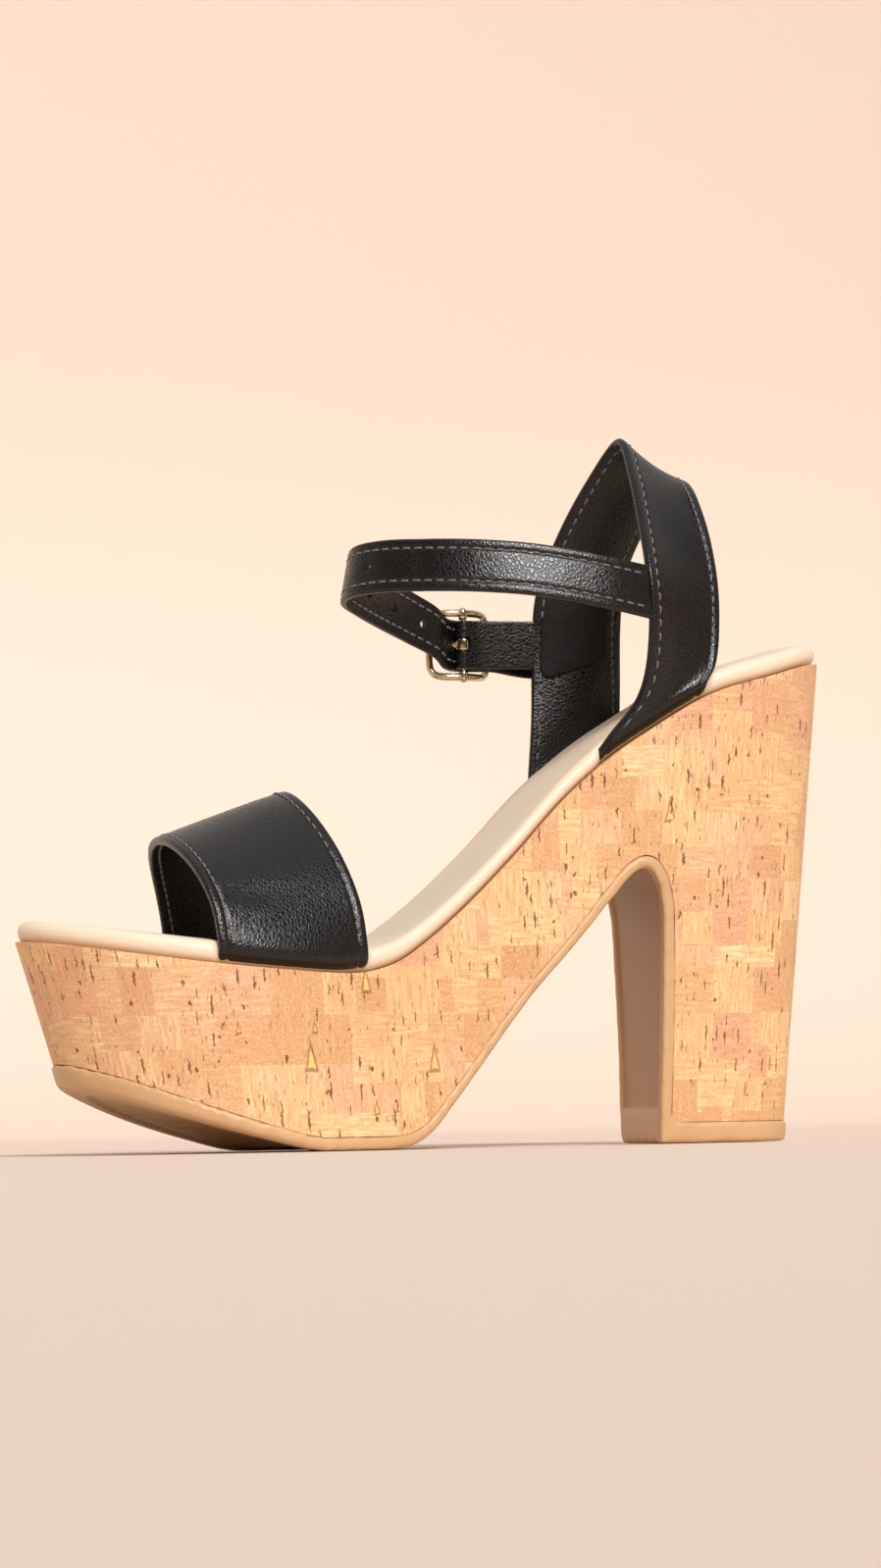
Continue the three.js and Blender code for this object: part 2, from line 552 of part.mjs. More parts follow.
function ankleStrap() {
  const station = (point, lean) => ({ point, lean });
  const free = (row) => station(upperPoint(row), row.lean);
  const rows = [
    ...ANKLE_STRAP.map(free),
    ...THROUGH_BUCKLE.map((row) => station(onBuckle(row.ahead, row.out, row.up), 0)),
    ...STRAP_TAIL.map(free),
  ];
  const steps = 3;
  const middle = smooth(rows.map((row) => row.point), (rows.length - 1) * steps);
  const grid = middle.map((point, i) => {
    const before = middle[Math.max(0, i - 1)];
    const after = middle[Math.min(middle.length - 1, i + 1)];
    const run = after.clone().sub(before).setZ(0).normalize();
    const row = Math.min(rows.length - 2, Math.floor(i / steps));
    const lean = mix(rows[row].lean, rows[row + 1].lean, i / steps - row);
    const up = vec(run.y * lean, -run.x * lean, 1).normalize();
    const tip = Math.min(1, 0.45 + (middle.length - 1 - i) * 0.35);
    return [-0.5, 0, 0.5].map((v) => point.clone().addScaledVector(up, v * ANKLE_WIDTH * tip));
  });
  return shell(grid, ANKLE_WALL / 2, ANKLE_WALL / 2);
}

// Short folded strap round the buckle's bar, its end between the layers of the heel strap
function chape() {
  const root = upperPoint(CHAPE_ROOT);
  const reach = root.distanceTo(buckleBar);
  const eye = BAR_RADIUS + GAP * 0.8;
  const loop = eye + CHAPE_LAYER;
  const neck = Math.asin(CHAPE_LAYER * 1.1 / loop);
  const shape = new THREE.Shape();
  shape.moveTo(-reach, -CHAPE_LAYER * 1.1);
  shape.absarc(0, 0, loop, Math.PI + neck, Math.PI - neck, false);
  shape.lineTo(-reach, CHAPE_LAYER * 1.1);
  shape.holes.push(new THREE.Path().absarc(0, 0, eye, 0, Math.PI * 2, true));
  const extrusion = { depth: CHAPE_HEIGHT, bevelEnabled: false, curveSegments: 10 };
  const fold = new THREE.ExtrudeGeometry(shape, extrusion);
  fold.translate(0, 0, -CHAPE_HEIGHT / 2);
  const slot = new THREE.BoxGeometry(3 * loop, 3 * loop, CURL_WIDTH + 2 * GAP);
  slot.translate(loop * 0.3, 0, 0);
  const angle = Math.atan2(buckleBar.y - root.y, buckleBar.x - root.x);
  const place = new THREE.Matrix4().makeRotationZ(angle).setPosition(buckleBar);
  return toSolid(fold.applyMatrix4(place)).subtract(toSolid(slot.applyMatrix4(place)));
}

// Buckle

const frameHalfHeight = ANKLE_WIDTH / 2 + FRAME_CLEARANCE + RAIL_RADIUS;
const FRAME_SQUARENESS = 7;

function roundRod(points, radius, sides = 8) {
  const rings = points.map((point, i) => {
    const before = points[Math.max(0, i - 1)];
    const after = points[Math.min(points.length - 1, i + 1)];
    const run = after.clone().sub(before).normalize();
    const u = Math.abs(run.z) > 0.7 ? vec(1, 0, 0) : vec(0, 0, 1);
    const a = u.cross(run).normalize();
    const b = run.clone().cross(a);
    return Array.from({ length: sides }, (_, k) => {
      const angle = 2 * Math.PI * k / sides;
      return point.clone()
        .addScaledVector(a, radius * Math.cos(angle))
        .addScaledVector(b, radius * Math.sin(angle));
    });
  });
  return toSolid(loft(rings));
}

function buckleFrame() {
  const power = 2 / FRAME_SQUARENESS;
  const spread = (v) => Math.sign(v) * Math.abs(v) ** power;
  const stations = 36;
  const rings = Array.from({ length: stations }, (_, i) => {
    const angle = 2 * Math.PI * (i + 0.5) / stations;
    const ahead = FRAME_HALF_LENGTH * spread(Math.cos(angle));
    const up = frameHalfHeight * spread(Math.sin(angle));
    const out = FRAME_BOW * (ahead / FRAME_HALF_LENGTH) ** 2;
    const centre = onBuckle(ahead, out, up);
    const middle = onBuckle(0, 0, 0);
    const aside = onBuckle(ahead, out, up).sub(middle).normalize();
    const outward = onBuckle(0, 1, 0).sub(middle);
    return Array.from({ length: 6 }, (__, k) => {
      const turn = 2 * Math.PI * (k + 0.5) / 6;
      return centre.clone()
        .addScaledVector(aside, RAIL_RADIUS * Math.cos(turn))
        .addScaledVector(outward, RAIL_RADIUS * Math.sin(turn));
    });
  });
  const barEnds = [-frameHalfHeight, frameHalfHeight].map((up) => onBuckle(0, 0, up));
  return toSolid(loft(rings, true)).add(roundRod(barEnds, BAR_RADIUS, 12));
}

// The prong leaves its curl, lies on the front rail and ends a little past it.
function prongLine() {
  const root = onBuckle(BAR_RADIUS * 1.7, BAR_RADIUS * 1.45, 0);
  const rest = onBuckle(FRAME_HALF_LENGTH, FRAME_BOW + RAIL_RADIUS + GAP + PRONG_RADIUS * 1.2, 0);
  return [root, root.clone().lerp(rest, 1.18)];
}

function buckleProng() {
  const eye = BAR_RADIUS + GAP * 0.7;
  const ring = (radius) => toSolid(new THREE.CylinderGeometry(radius, radius, CURL_WIDTH, 16)
    .rotateX(Math.PI / 2).translate(buckleBar.x, buckleBar.y, buckleBar.z));
  const hole = toSolid(new THREE.CylinderGeometry(eye, eye, CURL_WIDTH * 2, 16)
    .rotateX(Math.PI / 2).translate(buckleBar.x, buckleBar.y, buckleBar.z));
  return ring(eye + 0.8).subtract(hole).add(roundRod(prongLine(), PRONG_RADIUS));
}

function ankleUpper(heelGrid) {
  const hole = roundRod(prongLine(), PRONG_RADIUS + GAP);
  return shell(heelGrid, STRAP_WALL).add(chape()).add(ankleStrap().subtract(hole));
}

// Assembly

const finishes = {
  cork: new THREE.MeshStandardMaterial({ color: 0xdfae78, roughness: 0.6, metalness: 0 }),
  rubber: new THREE.MeshStandardMaterial({ color: 0xb98a55, roughness: 0.5, metalness: 0 }),
  insole: new THREE.MeshStandardMaterial({ color: 0xe4d6c0, roughness: 0.45, metalness: 0 }),
  strap: new THREE.MeshStandardMaterial({ color: 0x1b191c, roughness: 0.4, metalness: 0 }),
  metal: new THREE.MeshStandardMaterial({ color: 0xcdb892, roughness: 0.2, metalness: 1 }),
};

const toeGrid = toeStrapGrid();
const heelGrid = heelStrapGrid();
// What the footbed leaves free for a strap's foot
const room = (grid) => shell(grid, STRAP_WALL + GAP, TAB_BEND, GAP * 3);

const pieces = {
  platform_block: [platformBlock(), finishes.cork],
  outsole: [outsole(), finishes.rubber],
  footbed: [footbed([room(toeGrid), room(heelGrid)]), finishes.insole],
  toe_strap: [shell(toeGrid, STRAP_WALL), finishes.strap],
  ankle_upper: [ankleUpper(heelGrid), finishes.strap],
  buckle_frame: [buckleFrame(), finishes.metal],
  buckle_prong: [buckleProng(), finishes.metal],
};

const sandal = new THREE.Group();
for (const [name, [solid, material]] of Object.entries(pieces)) {
  const mesh = new THREE.Mesh(toGeometry(solid), material);
  mesh.name = name;
  sandal.add(mesh);
}

// The origin is under the middle of the whole shoe, on the floor.
const box = new THREE.Box3().setFromObject(sandal);
const centre = box.getCenter(vec(0, 0, 0));
sandal.position.set(-centre.x, -centre.y, -box.min.z);

export default sandal;
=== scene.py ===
# %% [markdown]
# # A platform sandal in cork and black straps
# This lesson dresses the measured frame of one right sandal. The frame gives each piece its place, so every
# piece here is built again from the same few sizes, finer and rounder, and then hides its plain twin.
# Lengths in the tables are millimetres or shares of a named size. Blender works in metres.

# %% Load the frame
import math

import bmesh
import bpy
import numpy as np
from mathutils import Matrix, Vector


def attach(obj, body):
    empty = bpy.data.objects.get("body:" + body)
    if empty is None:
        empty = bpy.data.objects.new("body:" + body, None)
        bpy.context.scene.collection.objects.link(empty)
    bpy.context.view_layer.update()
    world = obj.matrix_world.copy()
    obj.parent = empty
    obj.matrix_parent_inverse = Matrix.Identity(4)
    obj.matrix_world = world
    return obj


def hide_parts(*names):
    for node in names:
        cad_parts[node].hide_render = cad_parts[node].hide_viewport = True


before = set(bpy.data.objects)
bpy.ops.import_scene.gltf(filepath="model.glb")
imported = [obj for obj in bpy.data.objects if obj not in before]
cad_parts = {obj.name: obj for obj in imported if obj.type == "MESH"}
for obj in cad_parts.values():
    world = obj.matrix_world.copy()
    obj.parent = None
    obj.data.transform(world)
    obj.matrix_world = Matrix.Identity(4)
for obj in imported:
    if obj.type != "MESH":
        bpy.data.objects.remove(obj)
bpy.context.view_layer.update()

# %% [markdown]
# ## The sizes
# A shoemaker works from a last and a few tables: where the edge runs in plan, how the top climbs to the heel,
# and how the sole runs under it. Typing the same tables here keeps the dressed shoe inside the frame.

# %% Sizes of the sandal
SHOE_LENGTH = 209.5
SEAT_HEIGHT = 119.5
BALL_HEIGHT = 41.0
TOE_LIFT = 9.0
BALL_WIDTH = 81.0
SEAT_WIDTH = 57.0
BEND_SKEW = 0.11
BEND_PIVOT = 26.0
ARCH_HEIGHT = 67.0
TOE_SPRING = 20.0
SOLE_THICKNESS = 3.2
HEEL_BASE = 5.2
RIM_LIP = 0.7
FOOTBED_THICKNESS = 5.2
FOOTBED_CROWN = 1.0
FOOTBED_INSET = 0.6
STRAP_WALL = 2.0
ANKLE_WALL = 1.6
ANKLE_WIDTH = 13.3
TOE_STRAP_REAR = 45.5
TOE_STRAP_FRONT = 32.0
HEEL_STRAP_RISE = 58.5
STRAP_DISH = 1.4
STRAP_TAB = 9.0
TAB_BEND = 3.2
TAB_LIFT = 0.45
GAP = 0.3

HALF_BALL = BALL_WIDTH / 2
HALF_SEAT = SEAT_WIDTH / 2
HEEL_RISE = SEAT_HEIGHT - BALL_HEIGHT
FRAME_ORIGIN = np.array([104.96, 1.162, 0.0])


def rows(columns, *lines):
    """A table with named columns, one dictionary a row."""
    return [dict(zip(columns.split(), line)) for line in lines]


PLAN = rows(
    "along inner outer floor_along floor_inner floor_outer",
    (0.0040, 0.000, 0.000, 0.0635, 0.000, 0.000),
    (0.0107, 0.217, -0.217, 0.0668, 0.148, -0.148),
    (0.0280, 0.405, -0.405, 0.0778, 0.268, -0.268),
    (0.0605, 0.563, -0.563, 0.1002, 0.350, -0.350),
    (0.1146, 0.677, -0.681, 0.1408, 0.395, -0.395),
    (0.1885, 0.701, -0.714, 0.1957, 0.410, -0.412),
    (0.2697, 0.672, -0.711, 0.2697, 0.444, -0.457),
    (0.3648, 0.632, -0.711, 0.3608, 0.531, -0.605),
    (0.4610, 0.657, -0.765, 0.4538, 0.605, -0.705),
    (0.5469, 0.765, -0.854, 0.5368, 0.712, -0.790),
    (0.6279, 0.919, -0.938, 0.6137, 0.847, -0.864),
    (0.6998, 1.007, -0.968, 0.6820, 0.923, -0.884),
    (0.7705, 1.022, -0.923, 0.7480, 0.928, -0.835),
    (0.8424, 0.958, -0.805, 0.8115, 0.854, -0.706),
    (0.9045, 0.815, -0.617, 0.8605, 0.716, -0.519),
    (0.9540, 0.607, -0.370, 0.8960, 0.531, -0.296),
    (0.9855, 0.385, -0.089, 0.9170, 0.356, -0.064),
    (0.9980, 0.158, 0.158, 0.9215, 0.158, 0.158),
)
TOP_LINE = rows(
    "along climb spring",
    (-0.0875, 1.040, 0), (-0.0168, 1.005, 0), (0.0440, 0.985, 0), (0.1078, 0.938, 0), (0.1857, 0.876, 0),
    (0.2667, 0.755, 0), (0.3122, 0.675, 0), (0.3678, 0.552, 0), (0.4366, 0.362, 0), (0.4944, 0.217, 0),
    (0.5510, 0.097, 0), (0.5905, 0.034, 0), (0.6360, 0.004, 0), (0.6815, 0.000, 0.02), (0.7322, 0.000, 0.10),
    (0.8090, 0.000, 0.27), (0.8991, 0.000, 0.58), (0.9952, 0.000, 1.00), (1.0661, 0.000, 1.30),
)
SOLE_LINE = rows(
    "along lift spring rubber",
    (0.2512, -0.100, 0, 1.05), (0.2506, 0.120, 0, 1.05), (0.2486, 0.400, 0, 1.05), (0.2481, 0.700, 0, 1.05),
    (0.2494, 0.860, 0, 1.03), (0.2555, 0.950, 0, 1.00), (0.2670, 1.000, 0, 0.98), (0.2820, 0.985, 0, 0.95),
    (0.3091, 0.900, 0, 0.88), (0.3526, 0.745, 0, 0.80), (0.4174, 0.530, 0, 0.78), (0.4842, 0.275, 0, 0.78),
    (0.5206, 0.140, 0, 0.82), (0.5459, 0.055, 0, 0.90), (0.5702, 0.012, 0, 0.97), (0.5955, 0.000, 0, 1.00),
    (0.6896, 0.000, 0, 1.00), (0.7523, 0.000, 0.15, 1.06), (0.8374, 0.000, 0.41, 1.30),
    (0.9193, 0.000, 0.70, 1.50), (1.0054, 0.000, 0.99, 1.55), (1.0661, 0.000, 1.20, 1.55),
)
print("tables:", len(PLAN), "plan rows,", len(TOP_LINE), "top rows,", len(SOLE_LINE), "sole rows")

# %% [markdown]
# ## Smooth lines through the tables
# A table gives a dozen stations. A shoemaker's thin batten bent through them gives the fair line between, and
# the centripetal spline below does the same without overshooting at close stations.

# %% Lines and places


def smooth(points, steps, closed=False):
    """steps + 1 points on a centripetal spline through the given ones."""
    points = np.asarray(points, float)
    count = len(points)
    spans = count if closed else count - 1
    places = np.arange(steps + 1) * spans / steps
    out = np.empty((steps + 1, points.shape[1]))
    for k, place in enumerate(places):
        i = int(place)
        weight = place - i
        if not closed and i >= count - 1:
            i, weight = count - 2, 1.0
        p1, p2 = points[i % count], points[(i + 1) % count]
        p0 = points[(i - 1) % count] if closed or i > 0 else 2 * points[0] - points[1]
        p3 = points[(i + 2) % count] if closed or i + 2 < count else 2 * points[-1] - points[-2]
        d0, d1, d2 = (np.sqrt(np.linalg.norm(b - a)) for a, b in ((p0, p1), (p1, p2), (p2, p3)))
        d1 = max(d1, 1e-4)
        d0 = d0 if d0 > 1e-4 else d1
        d2 = d2 if d2 > 1e-4 else d1
        t1 = ((p1 - p0) / d0 - (p2 - p0) / (d0 + d1) + (p2 - p1) / d1) * d1
        t2 = ((p2 - p1) / d1 - (p3 - p1) / (d1 + d2) + (p3 - p2) / d2) * d1
        out[k] = (p1 + t1 * weight + (3 * (p2 - p1) - 2 * t1 - t2) * weight ** 2
                  + (2 * (p1 - p2) + t1 + t2) * weight ** 3)
    return out


def ramp(x, low, high):
    t = np.clip((np.asarray(x, float) - low) / (high - low), 0, 1)
    return t * t * (3 - 2 * t)


def skew(x, y):
    """How far a place of the side view lies further forward at y."""
    share = ramp(x, 0.08 * SHOE_LENGTH, 0.23 * SHOE_LENGTH) - ramp(x, 0.58 * SHOE_LENGTH, 0.70 * SHOE_LENGTH)
    return BEND_SKEW * (np.asarray(y, float) - BEND_PIVOT) * share


def side_place(x, y):
    """The side view's x for a place in plan."""
    straight = np.asarray(x, float)
    for _ in range(14):
        straight = x - skew(straight, y)
    return straight


top_points = smooth([(r["along"] * SHOE_LENGTH, BALL_HEIGHT + r["climb"] * HEEL_RISE + r["spring"] * TOE_LIFT)
                     for r in TOP_LINE], 280)


def cork_top(x, y):
    return np.interp(side_place(x, y), top_points[:, 0], top_points[:, 1])


SOLE_STEPS = 14
sole_points = smooth([(r["along"] * SHOE_LENGTH, r["lift"] * ARCH_HEIGHT + r["spring"] * TOE_SPRING)
                      for r in SOLE_LINE], (len(SOLE_LINE) - 1) * SOLE_STEPS)
sole_rubber = np.interp(np.arange(len(sole_points)) / SOLE_STEPS, np.arange(len(SOLE_LINE)),
                        [r["rubber"] * SOLE_THICKNESS for r in SOLE_LINE])


def sole_offset(extra=0.0, depth=None):
    """The sole's lower line pushed up into the shoe."""
    run = np.gradient(sole_points, axis=0)
    run /= np.linalg.norm(run, axis=1, keepdims=True)
    push = sole_rubber + extra if depth is None else np.full(len(sole_points), float(depth))
    return np.stack([sole_points[:, 0] - run[:, 1] * push,
                     np.maximum(sole_points[:, 1], 0) + run[:, 0] * push], axis=1)


RING_STEPS = 16


def plan_ring(along, inner, outer):
    """A closed ring through the inner edge towards the toe and the outer edge back to the heel."""
    controls = [(r[along] * SHOE_LENGTH, r[inner] * HALF_BALL) for r in PLAN]
    controls += [(r[along] * SHOE_LENGTH, r[outer] * HALF_BALL) for r in reversed(PLAN[1:-1])]
    return smooth(controls, len(controls) * RING_STEPS, closed=True)[:-1]


edge_ring = plan_ring("along", "inner", "outer")
floor_ring = plan_ring("floor_along", "floor_inner", "floor_outer")
RING_HALF = len(edge_ring) // 2


def inset(ring, distance):
    run = np.roll(ring, -1, axis=0) - np.roll(ring, 1, axis=0)
    run /= np.linalg.norm(run, axis=1, keepdims=True)
    return ring + np.stack([run[:, 1], -run[:, 0]], axis=1) * np.reshape(distance, (-1, 1))


def edge_at(x, side):
    half = edge_ring[:RING_HALF + 1] if side > 0 else np.vstack([edge_ring[:1], edge_ring[RING_HALF:][::-1]])
    return np.interp(x, half[:, 0], half[:, 1])


print("rings:", len(edge_ring), "points; seat edge", round(float(edge_at(40, 1)), 1), "mm from the middle")

# %% [markdown]
# ## Making meshes
# Most pieces are skins drawn over a stack of rings, as a boat is planked over its frames. Each corner also
# carries a place in the pattern, in metres along and across the surface, so a finish can follow the piece.

# %% Mesh helpers


def place_object(name, vertices, faces, corner_uv=None, metres=False):
    mesh = bpy.data.meshes.new(name)
    points = np.asarray(vertices, float)
    mesh.from_pydata((points if metres else (points - FRAME_ORIGIN) / 1000).tolist(), [], faces)
    if corner_uv is not None:
        layer = mesh.uv_layers.new(name="Wrap")
        layer.data.foreach_set("uv", np.asarray(corner_uv, np.float32).ravel())
    mesh.update()
    piece = bpy.data.objects.new(name, mesh)
    bpy.context.scene.collection.objects.link(piece)
    return piece


def skin(name, rings, caps=True, closed=False, along=None, around=None):
    """A skin over rings of equal length. along and around are the pattern's places in millimetres."""
    rings = np.asarray(rings, float)
    count, size = rings.shape[:2]
    along = np.zeros((count + 1, size + 1)) if along is None else along
    around = np.zeros((count + 1, size + 1)) if around is None else around
    faces, corners = [], []
    for i in range(count if closed else count - 1):
        n = (i + 1) % count
        for k in range(size):
            m = (k + 1) % size
            faces.append((i * size + k, i * size + m, n * size + m, n * size + k))
            corners += [(i, k), (i, k + 1), (i + 1, k + 1), (i + 1, k)]
    if caps and not closed:
        for i, order in ((0, range(size - 1, -1, -1)), (count - 1, range(size))):
            faces.append(tuple(i * size + k for k in order))
            corners += [(i, k) for k in order]
    i, k = np.array(corners).T
    return place_object(name, rings.reshape(-1, 3), faces, np.stack([along[i, k], around[i, k]], axis=1) / 1000)


def applied(piece):
    """Bakes a piece's modifiers into its mesh."""
    graph = bpy.context.evaluated_depsgraph_get()
    mesh = bpy.data.meshes.new_from_object(piece.evaluated_get(graph))
    piece.modifiers.clear()
    old, piece.data = piece.data, mesh
    bpy.data.meshes.remove(old)
    return piece


def cut(piece, other, operation="DIFFERENCE"):
    step = piece.modifiers.new("cut", "BOOLEAN")
    step.operation, step.object, step.solver = operation, other, "EXACT"
    applied(piece)
    bpy.data.objects.remove(other)
    return piece


def outward_faces(piece):
    work = bmesh.new()
    work.from_mesh(piece.data)
    bmesh.ops.recalc_face_normals(work, faces=work.faces)
    work.to_mesh(piece.data)
    work.free()


def smooth_shading(piece, angle=35):
    outward_faces(piece)
    piece.data.shade_smooth()
    piece.data.set_sharp_from_angle(angle=math.radians(angle))


def vertices_of(piece):
    co = np.empty(len(piece.data.vertices) * 3)
    piece.data.vertices.foreach_get("co", co)
    return co.reshape(-1, 3) * 1000 + FRAME_ORIGIN


def tell(piece):
    work = bmesh.new()
    work.from_mesh(piece.data)
    open_edges = sum(1 for e in work.edges if len(e.link_faces) != 2)
    triangles = sum(len(f.verts) - 2 for f in work.faces)
    work.free()
    print(f"{piece.name}: {triangles} triangles, {open_edges} open edges")


# %% [markdown]
# ## Platform and heel
# The real block is a light moulded core with a sheet of cork glued round it. Its wall leans: it is ruled from
# the outline on the floor to the outline under the footbed. Cutting that wall with the side view gives the
# block, and the pattern's place round the wall lets the cork sheet run on round the toe and the heel.

# %% Cork block
SEAT_IN_SOLE = -0.12


def wall(name, distance, levels=72):
    top = inset(edge_ring, distance)
    top = np.column_stack([top, cork_top(top[:, 0], top[:, 1])])
    foot = np.column_stack([inset(floor_ring, distance), np.zeros(len(floor_ring))])
    shares = np.linspace(-0.06, 1.16, levels)
    rings = [foot + (top - foot) * share for share in shares]
    ring = np.vstack([edge_ring, edge_ring[:1]])
    arc = np.concatenate([[0], np.cumsum(np.linalg.norm(np.diff(ring, axis=0), axis=1))])
    heights = np.stack([r[:, 2] for r in rings])
    heights = np.hstack([heights, heights[:, :1]])
    return skin(name, rings, along=np.tile(arc, (levels, 1)), around=heights)


def side_form(name, profile, lines=28):
    profile = np.asarray(profile, float)
    rings = []
    for y in np.linspace(-0.55, 0.55, lines) * BALL_WIDTH:
        x = profile[:, 0] + skew(profile[:, 0], y)
        rings.append(np.column_stack([x, np.full(len(x), y), profile[:, 1]]))
    return skin(name, rings)


def block_profile():
    under = sole_offset(SEAT_IN_SOLE)
    shown = (under[:, 1] > HEEL_BASE + SEAT_IN_SOLE) | (under[:, 0] > SHOE_LENGTH / 2)
    breast = under[SOLE_STEPS, 0]
    ends = [(breast, HEEL_BASE + SEAT_IN_SOLE), (-14, HEEL_BASE + SEAT_IN_SOLE)]
    return np.vstack([top_points, under[shown][::-1], ends])


cork = cut(wall("cork_block", 0.0), side_form("cork_side", block_profile()), "INTERSECT")
smooth_shading(cork, 40)
tell(cork)

# %% [markdown]
# ## Outsole
# Moulded rubber in one piece: a plate under the forefoot that runs up under the arch, down the heel's front and
# under the heel. A mould leaves no sharp edge, so the plate is cut like the block, turned into even small faces
# and relaxed. The tread and the heel's front are sunk fields inside a smooth rim.

# %% Rubber outsole
RUBBER_FACE = 0.8
TREAD_RIM = 6.2
BREAST_RIM = 3.0
FIELD_DEPTH = 0.8


def sole_profile():
    upper = sole_offset()
    shown = (upper[:, 1] > HEEL_BASE) | (upper[:, 0] > SHOE_LENGTH / 2)
    lower = sole_points[(sole_points[:, 1] > 0) | (sole_points[:, 0] > SHOE_LENGTH / 2)]
    lower = np.column_stack([lower[:, 0], np.maximum(lower[:, 1], 0)])
    start = [(-14, 0), (sole_points[0, 0], 0)]
    breast = upper[SOLE_STEPS, 0]
    return np.vstack([start, lower, upper[shown][::-1], [(breast, HEEL_BASE), (-14, HEEL_BASE)]])


def rim_distance(points):
    """Distance in plan from each point to the wall's outline at its own height."""
    share = np.clip(points[:, 2] / cork_top(points[:, 0], points[:, 1]), 0, 1)
    out = np.empty(len(points))
    for start in range(0, len(points), 4000):
        part = slice(start, start + 4000)
        ring = floor_ring[None] + (edge_ring - floor_ring)[None] * share[part, None, None]
        out[part] = np.linalg.norm(points[part, None, :2] - ring, axis=2).min(axis=1)
    return out


def sole_fields(points):
    """Shares of each point in the tread field and in the field of the heel's front, and its place along."""
    flat = np.column_stack([side_place(points[:, 0], points[:, 1]), points[:, 2]])
    gaps = np.linalg.norm(flat[:, None] - sole_points[None], axis=2)
    nearest = gaps.argmin(axis=1)
    on_face = 1 - ramp(gaps.min(axis=1), 0.7, 1.3)
    arc = np.concatenate([[0], np.cumsum(np.linalg.norm(np.diff(sole_points, axis=0), axis=1))])
    rim = rim_distance(points)
    x, z = flat.T
    ahead = ramp(x, 0.535 * SHOE_LENGTH, 0.545 * SHOE_LENGTH)
    tread = on_face * ahead * ramp(rim, TREAD_RIM - 0.5, TREAD_RIM + 0.5)
    behind = 1 - ramp(x, 0.49 * SHOE_LENGTH, 0.50 * SHOE_LENGTH)
    above = np.maximum(ramp(z, 0.12 * ARCH_HEIGHT, 0.14 * ARCH_HEIGHT), ramp(x, 0.28 * SHOE_LENGTH, 0.3 * SHOE_LENGTH))
    front = on_face * behind * above * ramp(rim, BREAST_RIM - 0.9, BREAST_RIM + 0.9)
    front *= ramp(x, 0.235 * SHOE_LENGTH, 0.245 * SHOE_LENGTH)
    return tread, front, arc[nearest]


def outsole():
    plate = cut(wall("rubber_outsole", -RIM_LIP), side_form("sole_side", sole_profile()), "INTERSECT")
    grain = plate.modifiers.new("even faces", "REMESH")
    grain.mode, grain.voxel_size = "VOXEL", RUBBER_FACE / 1000
    relax = plate.modifiers.new("relax", "SMOOTH")
    relax.factor, relax.iterations = 0.5, 12
    applied(plate)
    plate.data.update()
    points = vertices_of(plate)
    normals = np.empty(len(points) * 3)
    plate.data.vertices.foreach_get("normal", normals)
    tread, front, arc = sole_fields(points)
    points -= normals.reshape(-1, 3) * (FIELD_DEPTH * (tread + front))[:, None]
    points[:, 2] = np.maximum(points[:, 2], 0.0)
    plate.data.vertices.foreach_set("co", ((points - FRAME_ORIGIN) / 1000).ravel())
    # The material reads tread and front for the tread's bump, for painted light on the tread field and for painted
    # shade on the heel's front field.
    for name, values in (("tread", tread), ("front", front), ("arc", arc / 1000)):
        layer = plate.data.attributes.new(name, "FLOAT", "POINT")
        layer.data.foreach_set("value", values.astype(np.float32))
    plate.data.update()
    return plate


rubber = outsole()
smooth_shading(rubber, 60)
tell(rubber)

# %% [markdown]
# ## Footbed
# A padded insole under a cream cover, its edge rolled over and glued down on the cork. The edge is half a circle
# in section, the top is slightly crowned, and beside each strap the edge is pressed in by the strap's thickness.

# %% Footbed
HEEL_FEET = dict(inner_front=0.3240, inner_rear=0.1927, outer_front=0.3202, outer_rear=0.1978)
TOE_FRONT = dict(inner=0.8090, top=0.8333, outer=0.7705, roundness=2.1, height=TOE_STRAP_FRONT)
TOE_REAR = dict(inner=0.6299, top=0.6734, outer=0.5965, roundness=1.85, height=TOE_STRAP_REAR)


def strap_press():
    """Share of the straps' room at each point of the ring."""
    x = edge_ring[:, 0] / SHOE_LENGTH
    inner = np.arange(len(x)) < RING_HALF
    spans = (
        (inner, HEEL_FEET["inner_rear"], HEEL_FEET["inner_front"]),
        (~inner, HEEL_FEET["outer_rear"], HEEL_FEET["outer_front"]),
        (inner, TOE_REAR["inner"], TOE_FRONT["inner"]),
        (~inner, TOE_REAR["outer"], TOE_FRONT["outer"]),
    )
    press = np.zeros(len(x))
    soft = 1.6 / SHOE_LENGTH
    for side, rear, front in spans:
        press += side * ramp(x, rear - soft, rear + soft * 0.3) * (1 - ramp(x, front - soft * 0.3, front + soft))
    return press


def bridge(ring, height, lines):
    """Points across the shoe between the two sides of a ring, without the ring's own."""
    shares = np.linspace(0, 1, lines + 1)[1:-1, None]
    columns = []
    for k in range(1, RING_HALF):
        a, b = ring[k], ring[len(ring) - k]
        flat = a + (b - a) * shares
        rise = np.sin(np.pi * shares[:, 0]) ** 0.5
        columns.append(np.column_stack([flat, cork_top(flat[:, 0], flat[:, 1]) + height(rise)]))
    return np.array(columns)


